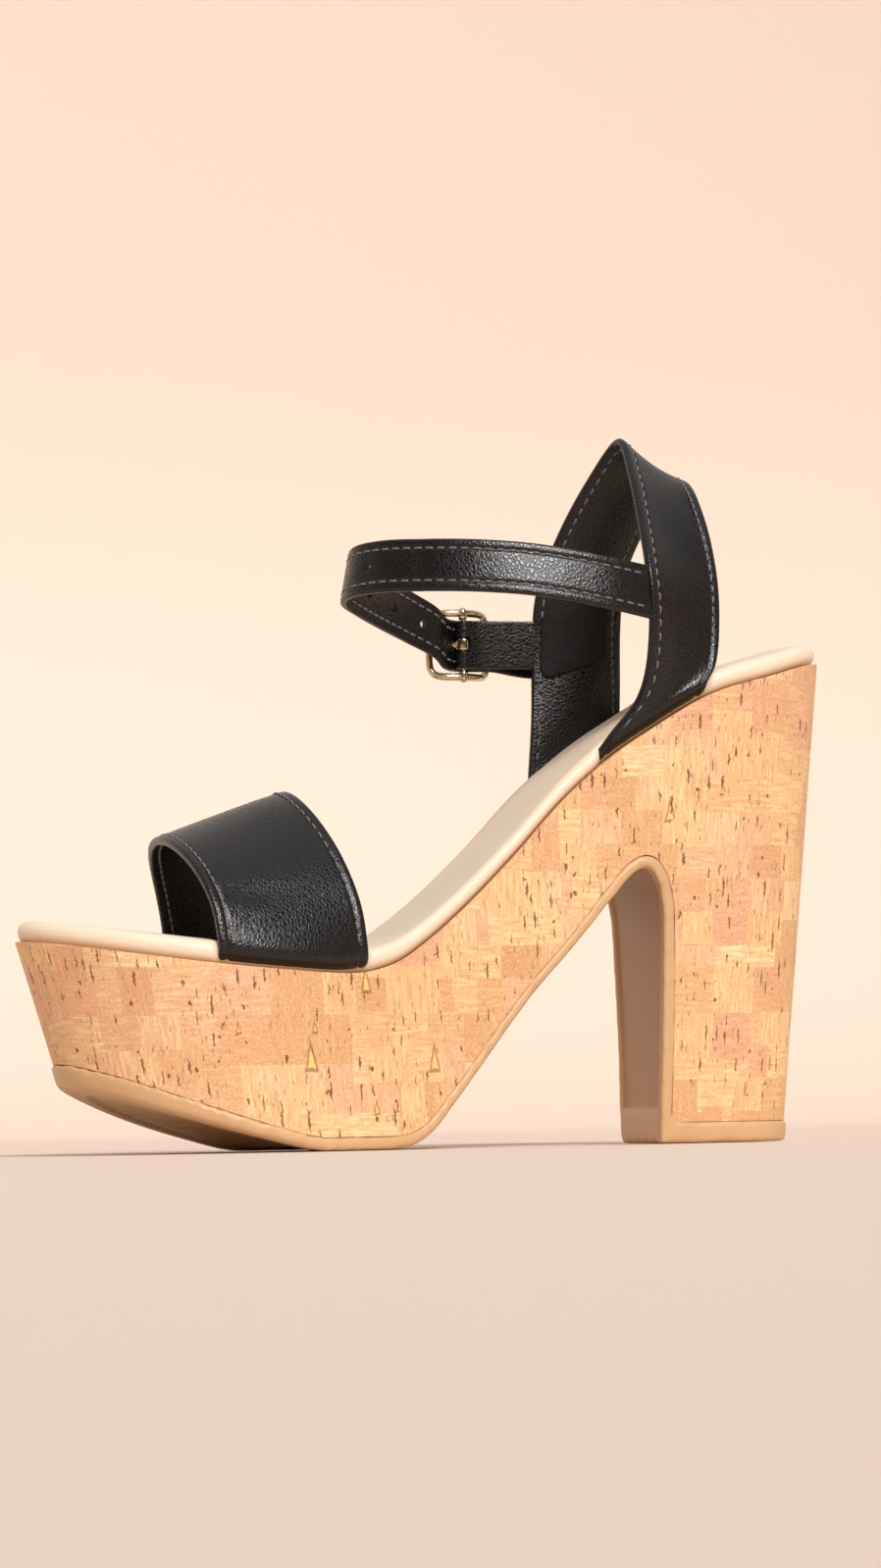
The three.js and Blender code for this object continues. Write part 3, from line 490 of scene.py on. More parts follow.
def footbed():
    press = strap_press() * (STRAP_WALL + 0.3)
    half = FOOTBED_THICKNESS / 2
    base = 0.1
    layers = [(half * (1 - np.cos(a)) * 0.9, base + half + half * np.sin(a))
              for a in np.radians(np.linspace(-80, 84, 13))]
    for step in (1.5, 2.4, 3.6):
        layers.append((half * step, base + 2 * half + FOOTBED_CROWN * (1 - np.exp(-(step - 1) * 0.55))))
    rings = []
    for distance, height in layers:
        ring = inset(edge_ring, FOOTBED_INSET + distance + press)
        rings.append(np.column_stack([ring, cork_top(ring[:, 0], ring[:, 1]) + height]))
    size, lines = len(edge_ring), 18
    points = list(np.concatenate(rings))
    faces = []
    for i in range(len(rings) - 1):
        for k in range(size):
            m = (k + 1) % size
            faces.append((i * size + k, i * size + m, (i + 1) * size + m, (i + 1) * size + k))
    last = layers[-1][1]
    for row, height, turn in ((0, lambda rise: layers[0][1] + 0 * rise, -1),
                              (len(rings) - 1, lambda rise: last + 0.25 * rise, 1)):
        start = len(points)
        columns = bridge(rings[row][:, :2], height, lines)
        points += list(columns.reshape(-1, 3))
        inner = lines - 1

        def at(k, j):
            if j == 0 or k in (0, RING_HALF):
                return row * size + k
            if j == lines:
                return row * size + size - k
            return start + (k - 1) * inner + j - 1
        for k in range(RING_HALF):
            for j in range(lines):
                corners = [at(k, j), at(k + 1, j), at(k + 1, j + 1), at(k, j + 1)]
                corners = list(dict.fromkeys(corners))
                if len(corners) > 2:
                    faces.append(tuple(corners[::turn]))
    return place_object("padded_footbed", points, faces)


bed = footbed()
smooth_shading(bed, 70)
tell(bed)

# %% [markdown]
# ## Strap grids
# Each strap is first a sheet without thickness: lines across the strap, one after another from the inner foot
# to the outer one. Its ends bend in under the footbed, as the real straps are pulled over the cork's edge.

# %% Strap lines
ACROSS = np.linspace(0, 1, 7)
HEEL_STRAP = rows(
    "front rear",
    ((0.2767, 1.01, -0.18), (0.1776, 0.94, -0.03)), ((0.2687, 1.15, 0.15), (0.1665, 0.85, 0.18)),
    ((0.2707, 1.12, 0.35), (0.1644, 0.78, 0.35)), ((0.2640, 0.85, 0.56), (0.1665, 0.65, 0.55)),
    ((0.2530, 0.44, 0.82), (0.1644, 0.34, 0.74)), ((0.2434, 0.00, 1.00), (0.1603, 0.00, 0.81)),
    ((0.2625, -0.44, 0.84), (0.1715, -0.35, 0.75)), ((0.2831, -0.81, 0.62), (0.1857, -0.67, 0.59)),
    ((0.2998, -1.05, 0.38), (0.1948, -0.82, 0.44)), ((0.3045, -1.10, 0.14), (0.1978, -0.91, 0.23)),
    ((0.3103, -1.05, -0.19), (0.1978, -0.96, 0.00)),
)


def blend(a, b, share):
    return np.asarray(a) + (np.asarray(b) - a) * np.reshape(share, (-1, 1))


def foot_lines(front_x, rear_x, side):
    x = front_x + (rear_x - front_x) * ACROSS
    bend = [(TAB_BEND * (1 - math.sin(a)), TAB_BEND * (1 - math.cos(a))) for a in np.radians((0, 22, 45, 68, 90))]
    lines = []
    for inward, up in [(STRAP_TAB, 0.0)] + bend:
        y = edge_at(x, side) - side * (GAP + inward)
        lines.append(np.column_stack([x, y, cork_top(x, y) + TAB_LIFT + up]))
    return lines


def band_between(inner_foot, lines, outer_foot, steps=9):
    stations = np.array([inner_foot[-1], *lines, outer_foot[-1]])
    free = [smooth(stations[:, j], (len(stations) - 1) * steps) for j in range(stations.shape[1])]
    free = np.stack(free, axis=1)[1:-1]
    return np.concatenate([inner_foot, free, outer_foot[::-1]])


def toe_strap_grid():
    def edge(row, angle):
        turn = (1 - math.cos(angle)) / 2
        base = row["inner"] + (row["outer"] - row["inner"]) * turn
        bulge = row["top"] - (row["inner"] + row["outer"]) / 2
        power = 2 / row["roundness"]
        ends = []
        for place, side in (("inner", 1), ("outer", -1)):
            x = row[place] * SHOE_LENGTH
            y = float(edge_at(x, side)) - side * GAP
            ends.append((y, float(cork_top(x, y))))
        (inner_y, inner_z), (outer_y, outer_z) = ends
        reach = math.copysign(abs(math.cos(angle)) ** power, math.cos(angle))
        start = TAB_LIFT + TAB_BEND
        rise = (row["height"] - start) * abs(math.sin(angle)) ** power
        return ((base + bulge * math.sin(angle) ** 2) * SHOE_LENGTH,
                outer_y + (inner_y - outer_y) * (1 + reach) / 2,
                inner_z + (outer_z - inner_z) * turn + start + rise)

    lines = [blend(edge(TOE_FRONT, a), edge(TOE_REAR, a), ACROSS) for a in np.pi * np.arange(1, 10) / 10]
    feet = [foot_lines(TOE_FRONT[place] * SHOE_LENGTH, TOE_REAR[place] * SHOE_LENGTH, side)
            for place, side in (("inner", 1), ("outer", -1))]
    return band_between(feet[0], lines, feet[1])


def upper_point(along, across, rise):
    return np.array([along * SHOE_LENGTH, across * HALF_SEAT, SEAT_HEIGHT + rise * HEEL_STRAP_RISE])


def heel_strap_grid():
    lines = []
    for i, row in enumerate(HEEL_STRAP):
        line = blend(upper_point(*row["front"]), upper_point(*row["rear"]), ACROSS)
        inward = np.array([0, 0, SEAT_HEIGHT]) - line * (0, 1, 1)
        inward /= np.linalg.norm(inward, axis=1, keepdims=True)
        crest = math.sin(math.pi * (i + 1) / (len(HEEL_STRAP) + 1))
        lines.append(line + inward * (STRAP_DISH * crest * np.sin(np.pi * ACROSS))[:, None])
    feet = [foot_lines(HEEL_FEET[front] * SHOE_LENGTH, HEEL_FEET[rear] * SHOE_LENGTH, side)
            for front, rear, side in (("inner_front", "inner_rear", 1), ("outer_front", "outer_rear", -1))]
    return band_between(feet[0], lines, feet[1])


BUCKLE_BAR = upper_point(0.3905, -1.158, 0.146)
BUCKLE_TURN = math.radians(6)
AHEAD = np.array([math.cos(BUCKLE_TURN), math.sin(BUCKLE_TURN), 0])
OUT = np.array([math.sin(BUCKLE_TURN), -math.cos(BUCKLE_TURN), 0])
UP = np.array([0, 0, 1])


def on_buckle(ahead, out, up):
    return BUCKLE_BAR + ahead * AHEAD + out * OUT + up * UP


ANKLE_STRAP = (
    (0.2460, 1.000, 0.238, 0.05), (0.2740, 1.100, 0.245, 0.08), (0.3173, 1.160, 0.268, 0.14),
    (0.3648, 1.133, 0.299, 0.17), (0.4174, 1.053, 0.328, 0.20), (0.4772, 0.905, 0.347, 0.20),
    (0.5317, 0.660, 0.359, 0.20), (0.5682, 0.404, 0.366, 0.20), (0.5874, 0.105, 0.362, 0.20),
    (0.5824, -0.175, 0.347, 0.18), (0.5561, -0.386, 0.320, 0.15), (0.5135, -0.684, 0.285, 0.12),
    (0.4680, -0.947, 0.244, 0.08),
)
THROUGH_BUCKLE = ((8.3, -1.4, 2.6), (5.0, 0.5, 0.35), (0, 3.05, 0), (-4.2, 2.0, 0), (-8.1, 0.45, -0.1))
STRAP_TAIL = ((0.3091, -1.250, 0.125), (0.2716, -1.190, 0.115), (0.2312, -1.110, 0.108))
ANKLE_STEPS = 8


def ankle_strap_grid():
    points = [upper_point(*row[:3]) for row in ANKLE_STRAP] + [on_buckle(*row) for row in THROUGH_BUCKLE]
    points += [upper_point(*row) for row in STRAP_TAIL]
    leans = [row[3] for row in ANKLE_STRAP] + [0.0] * (len(points) - len(ANKLE_STRAP))
    middle = smooth(points, (len(points) - 1) * ANKLE_STEPS)
    run = np.gradient(middle, axis=0) * (1, 1, 0)
    run /= np.linalg.norm(run, axis=1, keepdims=True)
    lean = np.interp(np.arange(len(middle)) / ANKLE_STEPS, np.arange(len(points)), leans)
    up = np.column_stack([run[:, 1] * lean, -run[:, 0] * lean, np.ones(len(run))])
    up /= np.linalg.norm(up, axis=1, keepdims=True)
    left = np.linalg.norm(middle - middle[-1], axis=1)
    tip = np.sqrt(1 - (1 - np.clip(left / 6.5, 0, 1)) ** 2) * 0.72 + 0.28
    return middle[:, None] + up[:, None] * ((ACROSS - 0.5)[None, :, None] * ANKLE_WIDTH * tip[:, None, None])


print("ankle strap:", round(float(np.linalg.norm(np.diff(ankle_strap_grid()[:, 3], axis=0), axis=1).sum())), "mm long")

# %% [markdown]
# ## From sheet to strap
# The straps are coated fabric folded over a liner, two millimetres in all. A folded edge is round, the cover
# swells a little between the seams, and each lockstitch pulls a shallow channel beside the edge. The section
# below has all three, and a few soft creases are pressed in where a strap bends or is held.

# %% Strap sections
SEAM_INSET = 2.5
EDGE_PLACES = (0.0, 0.35, 0.8, 1.2, 1.6, 1.9, 2.2, 2.5, 2.8, 3.1, 3.5, 4.2)


class Sheet:
    """A fine sheet with places given as station and millimetres from the front or lower edge."""

    def __init__(self, grid, relax=4):
        fine = np.stack([smooth(line, 96) for line in grid])
        for _ in range(relax):
            fine[1:-1] = fine[1:-1] * 0.5 + (fine[:-2] + fine[2:]) * 0.25
        self.points = fine
        along = np.gradient(fine, axis=0)
        across = np.gradient(fine, axis=1)
        normals = np.cross(across, along)
        self.normals = normals / np.linalg.norm(normals, axis=2, keepdims=True)
        steps = np.linalg.norm(np.diff(fine, axis=1), axis=2)
        self.reach = np.hstack([np.zeros((len(fine), 1)), np.cumsum(steps, axis=1)])
        self.width = self.reach[:, -1]
        middle = fine[:, fine.shape[1] // 2]
        self.run = np.concatenate([[0], np.cumsum(np.linalg.norm(np.diff(middle, axis=0), axis=1))])

    def at(self, i, distances):
        reach = self.reach[i]
        return (np.stack([np.interp(distances, reach, self.points[i][:, c]) for c in range(3)], axis=1),
                np.stack([np.interp(distances, reach, self.normals[i][:, c]) for c in range(3)], axis=1))

    def anywhere(self, run, distance):
        """Point and normal at a length along the strap and a distance from its first edge."""
        place = np.interp(run, self.run, np.arange(len(self.run)))
        i = min(int(place), len(self.run) - 2)
        (a, na), (b, nb) = self.at(i, [distance]), self.at(i + 1, [distance])
        return a[0] + (b[0] - a[0]) * (place - i), na[0] + (nb[0] - na[0]) * (place - i)


def section_places(width, middle):
    """Distances across the strap, dense beside both edges."""
    near = np.array(EDGE_PLACES)
    scale = min(1.0, width / 2 / (near[-1] + 0.6))
    near = near * scale
    inside = np.linspace(near[-1], width - near[-1], middle + 2)[1:-1]
    return np.concatenate([near, inside, (width - near)[::-1]])


def strap(name, sheet, wall, lift=0.0, middle=12, seams=(True, True), creases=(), swell=0.12):
    """A closed strap: outer face, folded edges and lining, in material slots 0, 2 and 1."""
    radius = wall / 2
    turns = np.radians(np.linspace(0, 180, 9))[1:-1]
    rings, around = [], []
    for i in range(len(sheet.points)):
        width = sheet.width[i]
        places = section_places(width - 2 * radius * 0.8, middle)
        inner_width = places[-1]
        points, normals = sheet.at(i, places + radius * 0.8)
        height = swell * np.maximum(np.sin(np.pi * places / inner_width), 0) ** 0.6
        for seam, distance in zip(seams, (places, inner_width - places)):
            if seam:
                height = height - 0.26 * np.exp(-((distance + radius * 0.8 - SEAM_INSET) / 0.42) ** 2)
                height = height + 0.07 * np.exp(-((distance - 0.5) / 0.5) ** 2)
        for run, across, length, breadth, depth in creases:
            height = height - depth * np.exp(-((sheet.run[i] - run) / length) ** 2
                                             - (((places + radius) / width - across) / breadth) ** 2)
        outer = points + normals * (lift + height)[:, None]
        under = points + normals * (lift - wall - 0.25 * (height - np.maximum(height, 0)))[:, None]
        ends = []
        for k, direction in ((-1, points[-1] - points[-2]), (0, points[0] - points[1])):
            direction = direction / np.linalg.norm(direction)
            centre = (outer[k] + under[k]) / 2
            up = (outer[k] - under[k]) / 2
            side = [centre + up * math.copysign(abs(math.cos(t)) ** 0.8, math.cos(t))
                    + direction * radius * 0.8 * math.sin(t) ** 0.8 for t in turns]
            ends.append(side if k == -1 else side[::-1])
        ring = np.vstack([outer, ends[0], under[::-1], ends[1]])
        rings.append(ring)
        steps = np.linalg.norm(np.diff(np.vstack([ring, ring[:1]]), axis=0), axis=1)
        around.append(np.concatenate([[0], np.cumsum(steps)]))
    size = len(rings[0])
    piece = skin(name, rings, along=np.tile(sheet.run[:, None], (1, size + 1)), around=np.array(around))
    wide = len(EDGE_PLACES) * 2 + middle
    slots = np.zeros(size, int)
    slots[wide - 1:wide + len(turns)] = 2
    slots[wide + len(turns):2 * wide + len(turns) - 1] = 1
    slots[2 * wide + len(turns) - 1:] = 2
    per_face = np.concatenate([np.tile(slots, len(rings) - 1), [2, 2]])
    piece.data.polygons.foreach_set("material_index", per_face.astype(np.int32))
    smooth_shading(piece, 60)
    return piece


toe_sheet, heel_sheet = Sheet(toe_strap_grid()), Sheet(heel_strap_grid())
ankle_sheet = Sheet(ankle_strap_grid(), relax=1)
toe = strap("toe_strap_cover", toe_sheet, STRAP_WALL, middle=24,
            creases=((26, 0.30, 3.0, 0.25, 0.35), (104, 0.55, 3.5, 0.22, 0.25), (66, 0.98, 9, 0.12, 0.3)))
heel_half = float(heel_sheet.run[-1]) / 2
heel = strap("heel_strap_cover", heel_sheet, STRAP_WALL, middle=16,
             creases=((heel_half, 0.45, 4.5, 0.5, 0.35), (heel_half - 22, 0.85, 6, 0.2, 0.3)))
ankle = strap("ankle_strap_cover", ankle_sheet, ANKLE_WALL, lift=ANKLE_WALL / 2, middle=8, swell=0.1,
              creases=((64, 0.5, 2.2, 0.9, 0.22), (78, 0.35, 2.6, 0.5, 0.18)))
for piece in (toe, heel, ankle):
    tell(piece)

# %% [markdown]
# ## Chape, patch and holes
# A short folded strap, the chape, holds the buckle. It runs into the outer leg of the heel strap between the
# cover and the lining, where a sewn patch closes the place. A slot in the fold leaves room for the prong's curl.

# %% Chape and punched holes
CHAPE_WALL = 0.95
CHAPE_HEIGHT = 12.3
BAR_RADIUS = 0.8
CURL_WIDTH = 3.0
HOLE_RADIUS = 1.05
chape_root = upper_point(0.2484, -0.995, 0.146)
chape_reach = float(np.linalg.norm(BUCKLE_BAR - chape_root))
chape_run = (BUCKLE_BAR - chape_root) / chape_reach
chape_side = np.cross(chape_run, UP)
chape_side /= np.linalg.norm(chape_side)


def chape_grid():
    eye = BAR_RADIUS + 0.24 + CHAPE_WALL / 2
    layer = CHAPE_WALL * 0.53
    leg = [(-chape_reach, layer), (-12, layer), (-7, layer * 1.05), (-3.6, layer * 1.5)]
    turns = np.radians(np.arange(115, -116, -23))
    fold = [(eye * math.cos(a), eye * math.sin(a)) for a in turns]
    path = [(a, -b) for a, b in leg] + [(a, -b) for a, b in fold] + leg[::-1]
    path = smooth(path, 90)
    middle = BUCKLE_BAR + path[:, :1] * chape_run + path[:, 1:] * chape_side
    return middle[:, None] + (ACROSS - 0.5)[None, :, None] * CHAPE_HEIGHT * UP


def box_cutter(centre, axes, sizes):
    corners = [(x, y, z) for x in (-1, 1) for y in (-1, 1) for z in (-1, 1)]
    points = [centre + sum(np.asarray(axis) * size / 2 * sign for axis, size, sign in zip(axes, sizes, corner))
              for corner in corners]
    faces = [(0, 1, 3, 2), (4, 6, 7, 5), (0, 4, 5, 1), (2, 3, 7, 6), (0, 2, 6, 4), (1, 5, 7, 3)]
    cutter = place_object("cutter", points, faces)
    outward_faces(cutter)
    return cutter


def rod(name, points, radii, sides=20, closed=False):
    """A round rod along a line of points, with its ends rounded over when it is open."""
    points = np.asarray(points, float)
    radii = np.broadcast_to(np.asarray(radii, float), (len(points),)).copy()
    if closed:
        run = np.roll(points, -1, axis=0) - np.roll(points, 1, axis=0)
    else:
        start, end = points[0] - points[1], points[-1] - points[-2]
        start, end = start / np.linalg.norm(start), end / np.linalg.norm(end)
        turns = np.radians((75, 50, 25))
        head = [points[0] + start * radii[0] * math.sin(t) for t in turns]
        tail = [points[-1] + end * radii[-1] * math.sin(t) for t in turns[::-1]]
        radii = np.concatenate([radii[0] * np.cos(turns), radii, radii[-1] * np.cos(turns[::-1])])
        points = np.vstack([head, points, tail])
        run = np.gradient(points, axis=0)
    run /= np.linalg.norm(run, axis=1, keepdims=True)
    across = np.cross(OUT if abs(run @ OUT).max() < 0.9 else UP, run)
    across /= np.linalg.norm(across, axis=1, keepdims=True)
    other = np.cross(run, across)
    turns = 2 * np.pi * np.arange(sides) / sides
    rings = (points[:, None] + radii[:, None, None] * (np.cos(turns)[None, :, None] * across[:, None]
                                                       + np.sin(turns)[None, :, None] * other[:, None]))
    piece = skin(name, rings, closed=closed)
    smooth_shading(piece, 60)
    return piece


def punch(piece, sheet, run, radius=HOLE_RADIUS):
    point, normal = sheet.anywhere(run, float(np.interp(run, sheet.run, sheet.width)) / 2)
    return cut(piece, rod("punch", [point - normal * 3, point + normal * 3], radius, sides=28))


def run_near(sheet, point):
    middle = sheet.points[:, sheet.points.shape[1] // 2]
    return float(sheet.run[np.linalg.norm(middle - point, axis=1).argmin()])


chape_sheet = Sheet(chape_grid(), relax=1)
chape = strap("chape_cover", chape_sheet, CHAPE_WALL, lift=CHAPE_WALL / 2, middle=8, swell=0.05, seams=(False, False))
chape = cut(chape, box_cutter(BUCKLE_BAR + chape_run * 1.2, (chape_run, chape_side, UP), (5.2, 6, CURL_WIDTH + 0.6)))
smooth_shading(chape, 50)
prong_hole = run_near(ankle_sheet, on_buckle(2.7, 2.05, 0))
front_hole = run_near(ankle_sheet, upper_point(0.578, 0.30, 0.365))
holes = np.linspace(front_hole, prong_hole, 6)
for place in holes:
    ankle = punch(ankle, ankle_sheet, float(place), HOLE_RADIUS * (1.25 if place == prong_hole else 1))
smooth_shading(ankle, 60)
print("holes", round(float(holes[1] - holes[0]), 1), "mm apart")

# %% [markdown]
# The patch is a scrap of the same lining, cut with round corners and sewn flat on the inside of the outer leg.

# %% Lining patch
PATCH_WALL = 0.7


def patch():
    """A thin plate that lies on the lining of the outer leg, over the end of the chape."""
    centre_run = run_near(heel_sheet, upper_point(0.25, -0.99, 0.165))
    half_long, half_wide, corner, steps = 8.6, 8.4, 3.0, 24
    outline = []
    for sx, sy, first in ((1, 1, 0), (-1, 1, 90), (-1, -1, 180), (1, -1, 270)):
        for a in np.radians(first + np.linspace(0, 90, 7)):
            outline.append((sx * (half_long - corner) + corner * math.cos(a),
                            sy * (half_wide - corner) + corner * math.sin(a)))
    outline = np.array(outline)
    rings = []
    for share, height in ((0, 0.0), (0.55, 0), (0.93, 0), (0.985, 0.1), (1, 0.3), (1, PATCH_WALL)):
        ring = []
        for u, v in outline * share if share else outline * 0.02:
            point, normal = heel_sheet.anywhere(centre_run + v, 10.9 + u)
            ring.append(point - normal * (STRAP_WALL + PATCH_WALL - height))
        rings.append(ring)
    piece = skin("lining_patch", rings)
    smooth_shading(piece, 60)
    return piece


patch_piece = patch()
tell(chape)
tell(patch_piece)

# %% [markdown]
# ## Buckle
# A frame bent from round wire and plated, with a bar across its middle and a prong that swings on the bar. The
# tongue of the strap passes over the bar, and the prong comes through its hole and rests on the front rail.

# %% Buckle
RAIL_RADIUS = 0.95
FRAME_HALF_LENGTH = 8.1
FRAME_HALF_HEIGHT = ANKLE_WIDTH / 2 + 0.65 + RAIL_RADIUS
FRAME_BOW = 3.6
PRONG_RADIUS = 0.65


def frame_line(stations=120):
    power = 2 / 6.0
    points = []
    for angle in 2 * np.pi * (np.arange(stations) + 0.5) / stations:
        c, s = math.cos(angle), math.sin(angle)
        ahead = FRAME_HALF_LENGTH * math.copysign(abs(c) ** power, c)
        up = FRAME_HALF_HEIGHT * math.copysign(abs(s) ** power, s)
        points.append((ahead, up))
    line = smooth(points, 900, closed=True)[:-1]
    arc = np.concatenate([[0], np.cumsum(np.linalg.norm(np.diff(np.vstack([line, line[:1]]), axis=0), axis=1))])
    places = np.linspace(0, arc[-1], stations + 1)[:-1]
    line = np.stack([np.interp(places, arc[:-1], line[:, c]) for c in (0, 1)], axis=1)
    bow = FRAME_BOW * (line[:, 0] / FRAME_HALF_LENGTH) ** 2
    return [on_buckle(a, o, u) for (a, u), o in zip(line, bow)]


frame_rod = rod("frame_wire", frame_line(), RAIL_RADIUS, sides=20, closed=True)
bar_rod = rod("frame_bar", [on_buckle(0, 0, u) for u in np.linspace(-1, 1, 9) * FRAME_HALF_HEIGHT], BAR_RADIUS)
knobs = [rod(f"bar_end_{word}", [on_buckle(0, 0.15, s * (FRAME_HALF_HEIGHT - 0.9)),
                                 on_buckle(0, 0.15, s * (FRAME_HALF_HEIGHT + 0.25))], 1.2)
         for word, s in (("upper", 1), ("lower", -1))]


def prong():
    root = on_buckle(BAR_RADIUS * 1.7, BAR_RADIUS * 1.45, 0)
    rest = on_buckle(FRAME_HALF_LENGTH, FRAME_BOW + RAIL_RADIUS + GAP + PRONG_RADIUS, 0)
    tip = on_buckle(FRAME_HALF_LENGTH + 1.4, FRAME_BOW + RAIL_RADIUS + GAP + PRONG_RADIUS - 0.1, 0)
    line = smooth([root, root + (rest - root) * 0.5 + OUT * 0.35, rest, tip], 24)
    radii = np.interp(np.linspace(0, 1, 25), (0, 0.2, 0.8, 1), (0.95, 0.8, PRONG_RADIUS, PRONG_RADIUS * 0.8))
    return rod("prong_pin", line, radii)


def curl():
    inner, outer, half = BAR_RADIUS + 0.2, BAR_RADIUS + 1.0, CURL_WIDTH / 2
    middle, thick = (inner + outer) / 2, (outer - inner) / 2
    section = []
    for a in np.radians(np.arange(0, 360, 15)):
        c, s = math.cos(a), math.sin(a)
        section.append((middle + thick * math.copysign(abs(c) ** 0.6, c), half * math.copysign(abs(s) ** 0.35, s)))
    rings = [[on_buckle(r * math.cos(t), r * math.sin(t), h) for r, h in section]
             for t in 2 * np.pi * np.arange(40) / 40]
    piece = skin("prong_curl", rings, closed=True)
    smooth_shading(piece, 60)
    return piece


prong_pieces = [prong(), curl()]
for piece in (frame_rod, *prong_pieces):
    tell(piece)

# %% [markdown]
# ## Stitches
# Lockstitches run 2.5 mm inside both edges of every strap, a little under three millimetres each. The thread
# rises from one needle hole, lies over the cover and sinks into the next. Both faces show it.

# %% Stitches
STITCH_PITCH = 2.9
THREAD_RADIUS = 0.27


def stitch_row(seams, name, lift_out, lift_in, faces=(True, True)):
    """seams: (sheet, first run, last run, edge) with edge 0 for the first edge and 1 for the last."""
    turns = 2 * np.pi * np.arange(6) / 6
    profile = [(-1, 0.35, -0.34), (-0.86, 0.9, -0.06), (-0.45, 1, 0.09), (0, 1, 0.12),
               (0.45, 1, 0.09), (0.86, 0.9, -0.06), (1, 0.35, -0.34)]
    points, polygons = [], []
    for sheet, first, last, edge in seams:
        count = max(1, round((last - first) / STITCH_PITCH))
        pitch = (last - first) / count
        for n in range(count):
            run = first + (n + 0.5) * pitch
            distances = [SEAM_INSET if edge == 0 else float(np.interp(r, sheet.run, sheet.width)) - SEAM_INSET
                         for r in (run - 0.5, run + 0.5)]
            (a, na), (b, nb) = (sheet.anywhere(r, d) for r, d in zip((run - 0.5, run + 0.5), distances))
            direction = (b - a) / np.linalg.norm(b - a)
            normal = (na + nb) / 2
            side = np.cross(direction, normal)
            for face, shown in ((1, faces[0]), (-1, faces[1])):
                if not shown:
                    continue
                level = lift_out if face == 1 else lift_in
                start = len(points)
                for t, size, rise in profile:
                    centre = (a + b) / 2 + direction * t * (pitch * 0.36) + normal * (level + face * rise)
                    for turn in turns:
                        points.append(centre + THREAD_RADIUS * size * (side * math.cos(turn)
                                                                       + normal * math.sin(turn)))
                for i in range(len(profile) - 1):
                    for k in range(6):
                        m = (k + 1) % 6
                        polygons.append((start + i * 6 + k, start + i * 6 + m,
                                         start + (i + 1) * 6 + m, start + (i + 1) * 6 + k))
                polygons.append(tuple(start + k for k in range(5, -1, -1)))
                polygons.append(tuple(start + (len(profile) - 1) * 6 + k for k in range(6)))
    piece = place_object(name, points, polygons)
    smooth_shading(piece, 60)
    return piece


foot_end = STRAP_TAB + TAB_BEND * 1.2
toe_end, heel_end, ankle_end = (float(s.run[-1]) for s in (toe_sheet, heel_sheet, ankle_sheet))
toe_thread = stitch_row([(toe_sheet, foot_end, toe_end - foot_end, e) for e in (0, 1)], "toe_strap_thread",
                        -0.10, -STRAP_WALL)
heel_thread = stitch_row([(heel_sheet, foot_end, heel_end - foot_end, e) for e in (0, 1)], "heel_strap_thread",
                         -0.10, -STRAP_WALL)
ankle_thread = stitch_row([(ankle_sheet, 8, ankle_end - 6, e) for e in (0, 1)], "ankle_strap_thread",
                          ANKLE_WALL / 2 - 0.12, -ANKLE_WALL / 2)
tell(toe_thread)
tell(heel_thread)
tell(ankle_thread)

# %% [markdown]
# ## Materials
# Every finish starts from the real stuff: what it is called, how it is made, and so how it takes the light. One
# function adds a node, another turns a colour picked in sRGB into the linear one that the renderer mixes.

# %% Node helpers


def linear(hex_code):
    channels = [int(hex_code[i:i + 2], 16) / 255 for i in (1, 3, 5)]
    return tuple(c / 12.92 if c <= 0.04045 else ((c + 0.055) / 1.055) ** 2.4 for c in channels) + (1.0,)


def add(tree, kind, settings, inputs, out=0):
    """Adds a node, sets or links its inputs and gives back one output."""
    node = tree.nodes.new("ShaderNode" + kind)
    for key, value in settings.items():
        if key == "stops":
            while len(node.color_ramp.elements) < len(value):
                node.color_ramp.elements.new(1.0)
            for element, (place, colour) in zip(node.color_ramp.elements, value):
                element.position, element.color = place, colour
        else:
            setattr(node, key, value)
    for key, value in inputs.items():
        if isinstance(value, bpy.types.NodeSocket):
            tree.links.new(value, node.inputs[key])
        else:
            node.inputs[key].default_value = value
    return node.outputs[out]


def calc(tree, operation, a, b=0.0, c=0.0, clamp=False):
    return add(tree, "Math", {"operation": operation, "use_clamp": clamp}, {0: a, 1: b, 2: c})


def material(name):
    finish = bpy.data.materials.new(name)
    finish.use_nodes = True
    return finish, finish.node_tree, finish.node_tree.nodes["Principled BSDF"]


def connect(tree, shader, **links):
    for key, value in links.items():
        tree.links.new(value, shader.inputs[key.replace("_", " ")])


def scaled(tree, vector, factors, shift=(0.0, 0.0, 0.0)):
    return add(tree, "VectorMath", {"operation": "MULTIPLY_ADD"}, {0: vector, 1: factors, 2: shift})


def mixed(tree, amount, a, b, kind="MIX"):
    node = tree.nodes.new("ShaderNodeMix")
    node.data_type, node.blend_type = "RGBA", kind
    for key, value in ((0, amount), (6, a), (7, b)):
        if isinstance(value, bpy.types.NodeSocket):
            tree.links.new(value, node.inputs[key])
        else:
            node.inputs[key].default_value = value
    return node.outputs[2]


# %% [markdown]
# ## Cork veneer
# Slices of bark are glued into a patchwork, shaved to a sheet and sealed with a thin satin lacquer. Each patch
# keeps its own tan and its fine growth lines, and the bark's pores show as short dark dashes and dots.

# %% Cork material
PATCH_LONG = 0.021
PATCH_TALL = 0.0115
GRAIN_WIDTH = 0.0009
DASH_SPACING = (0.0036, 0.0068)


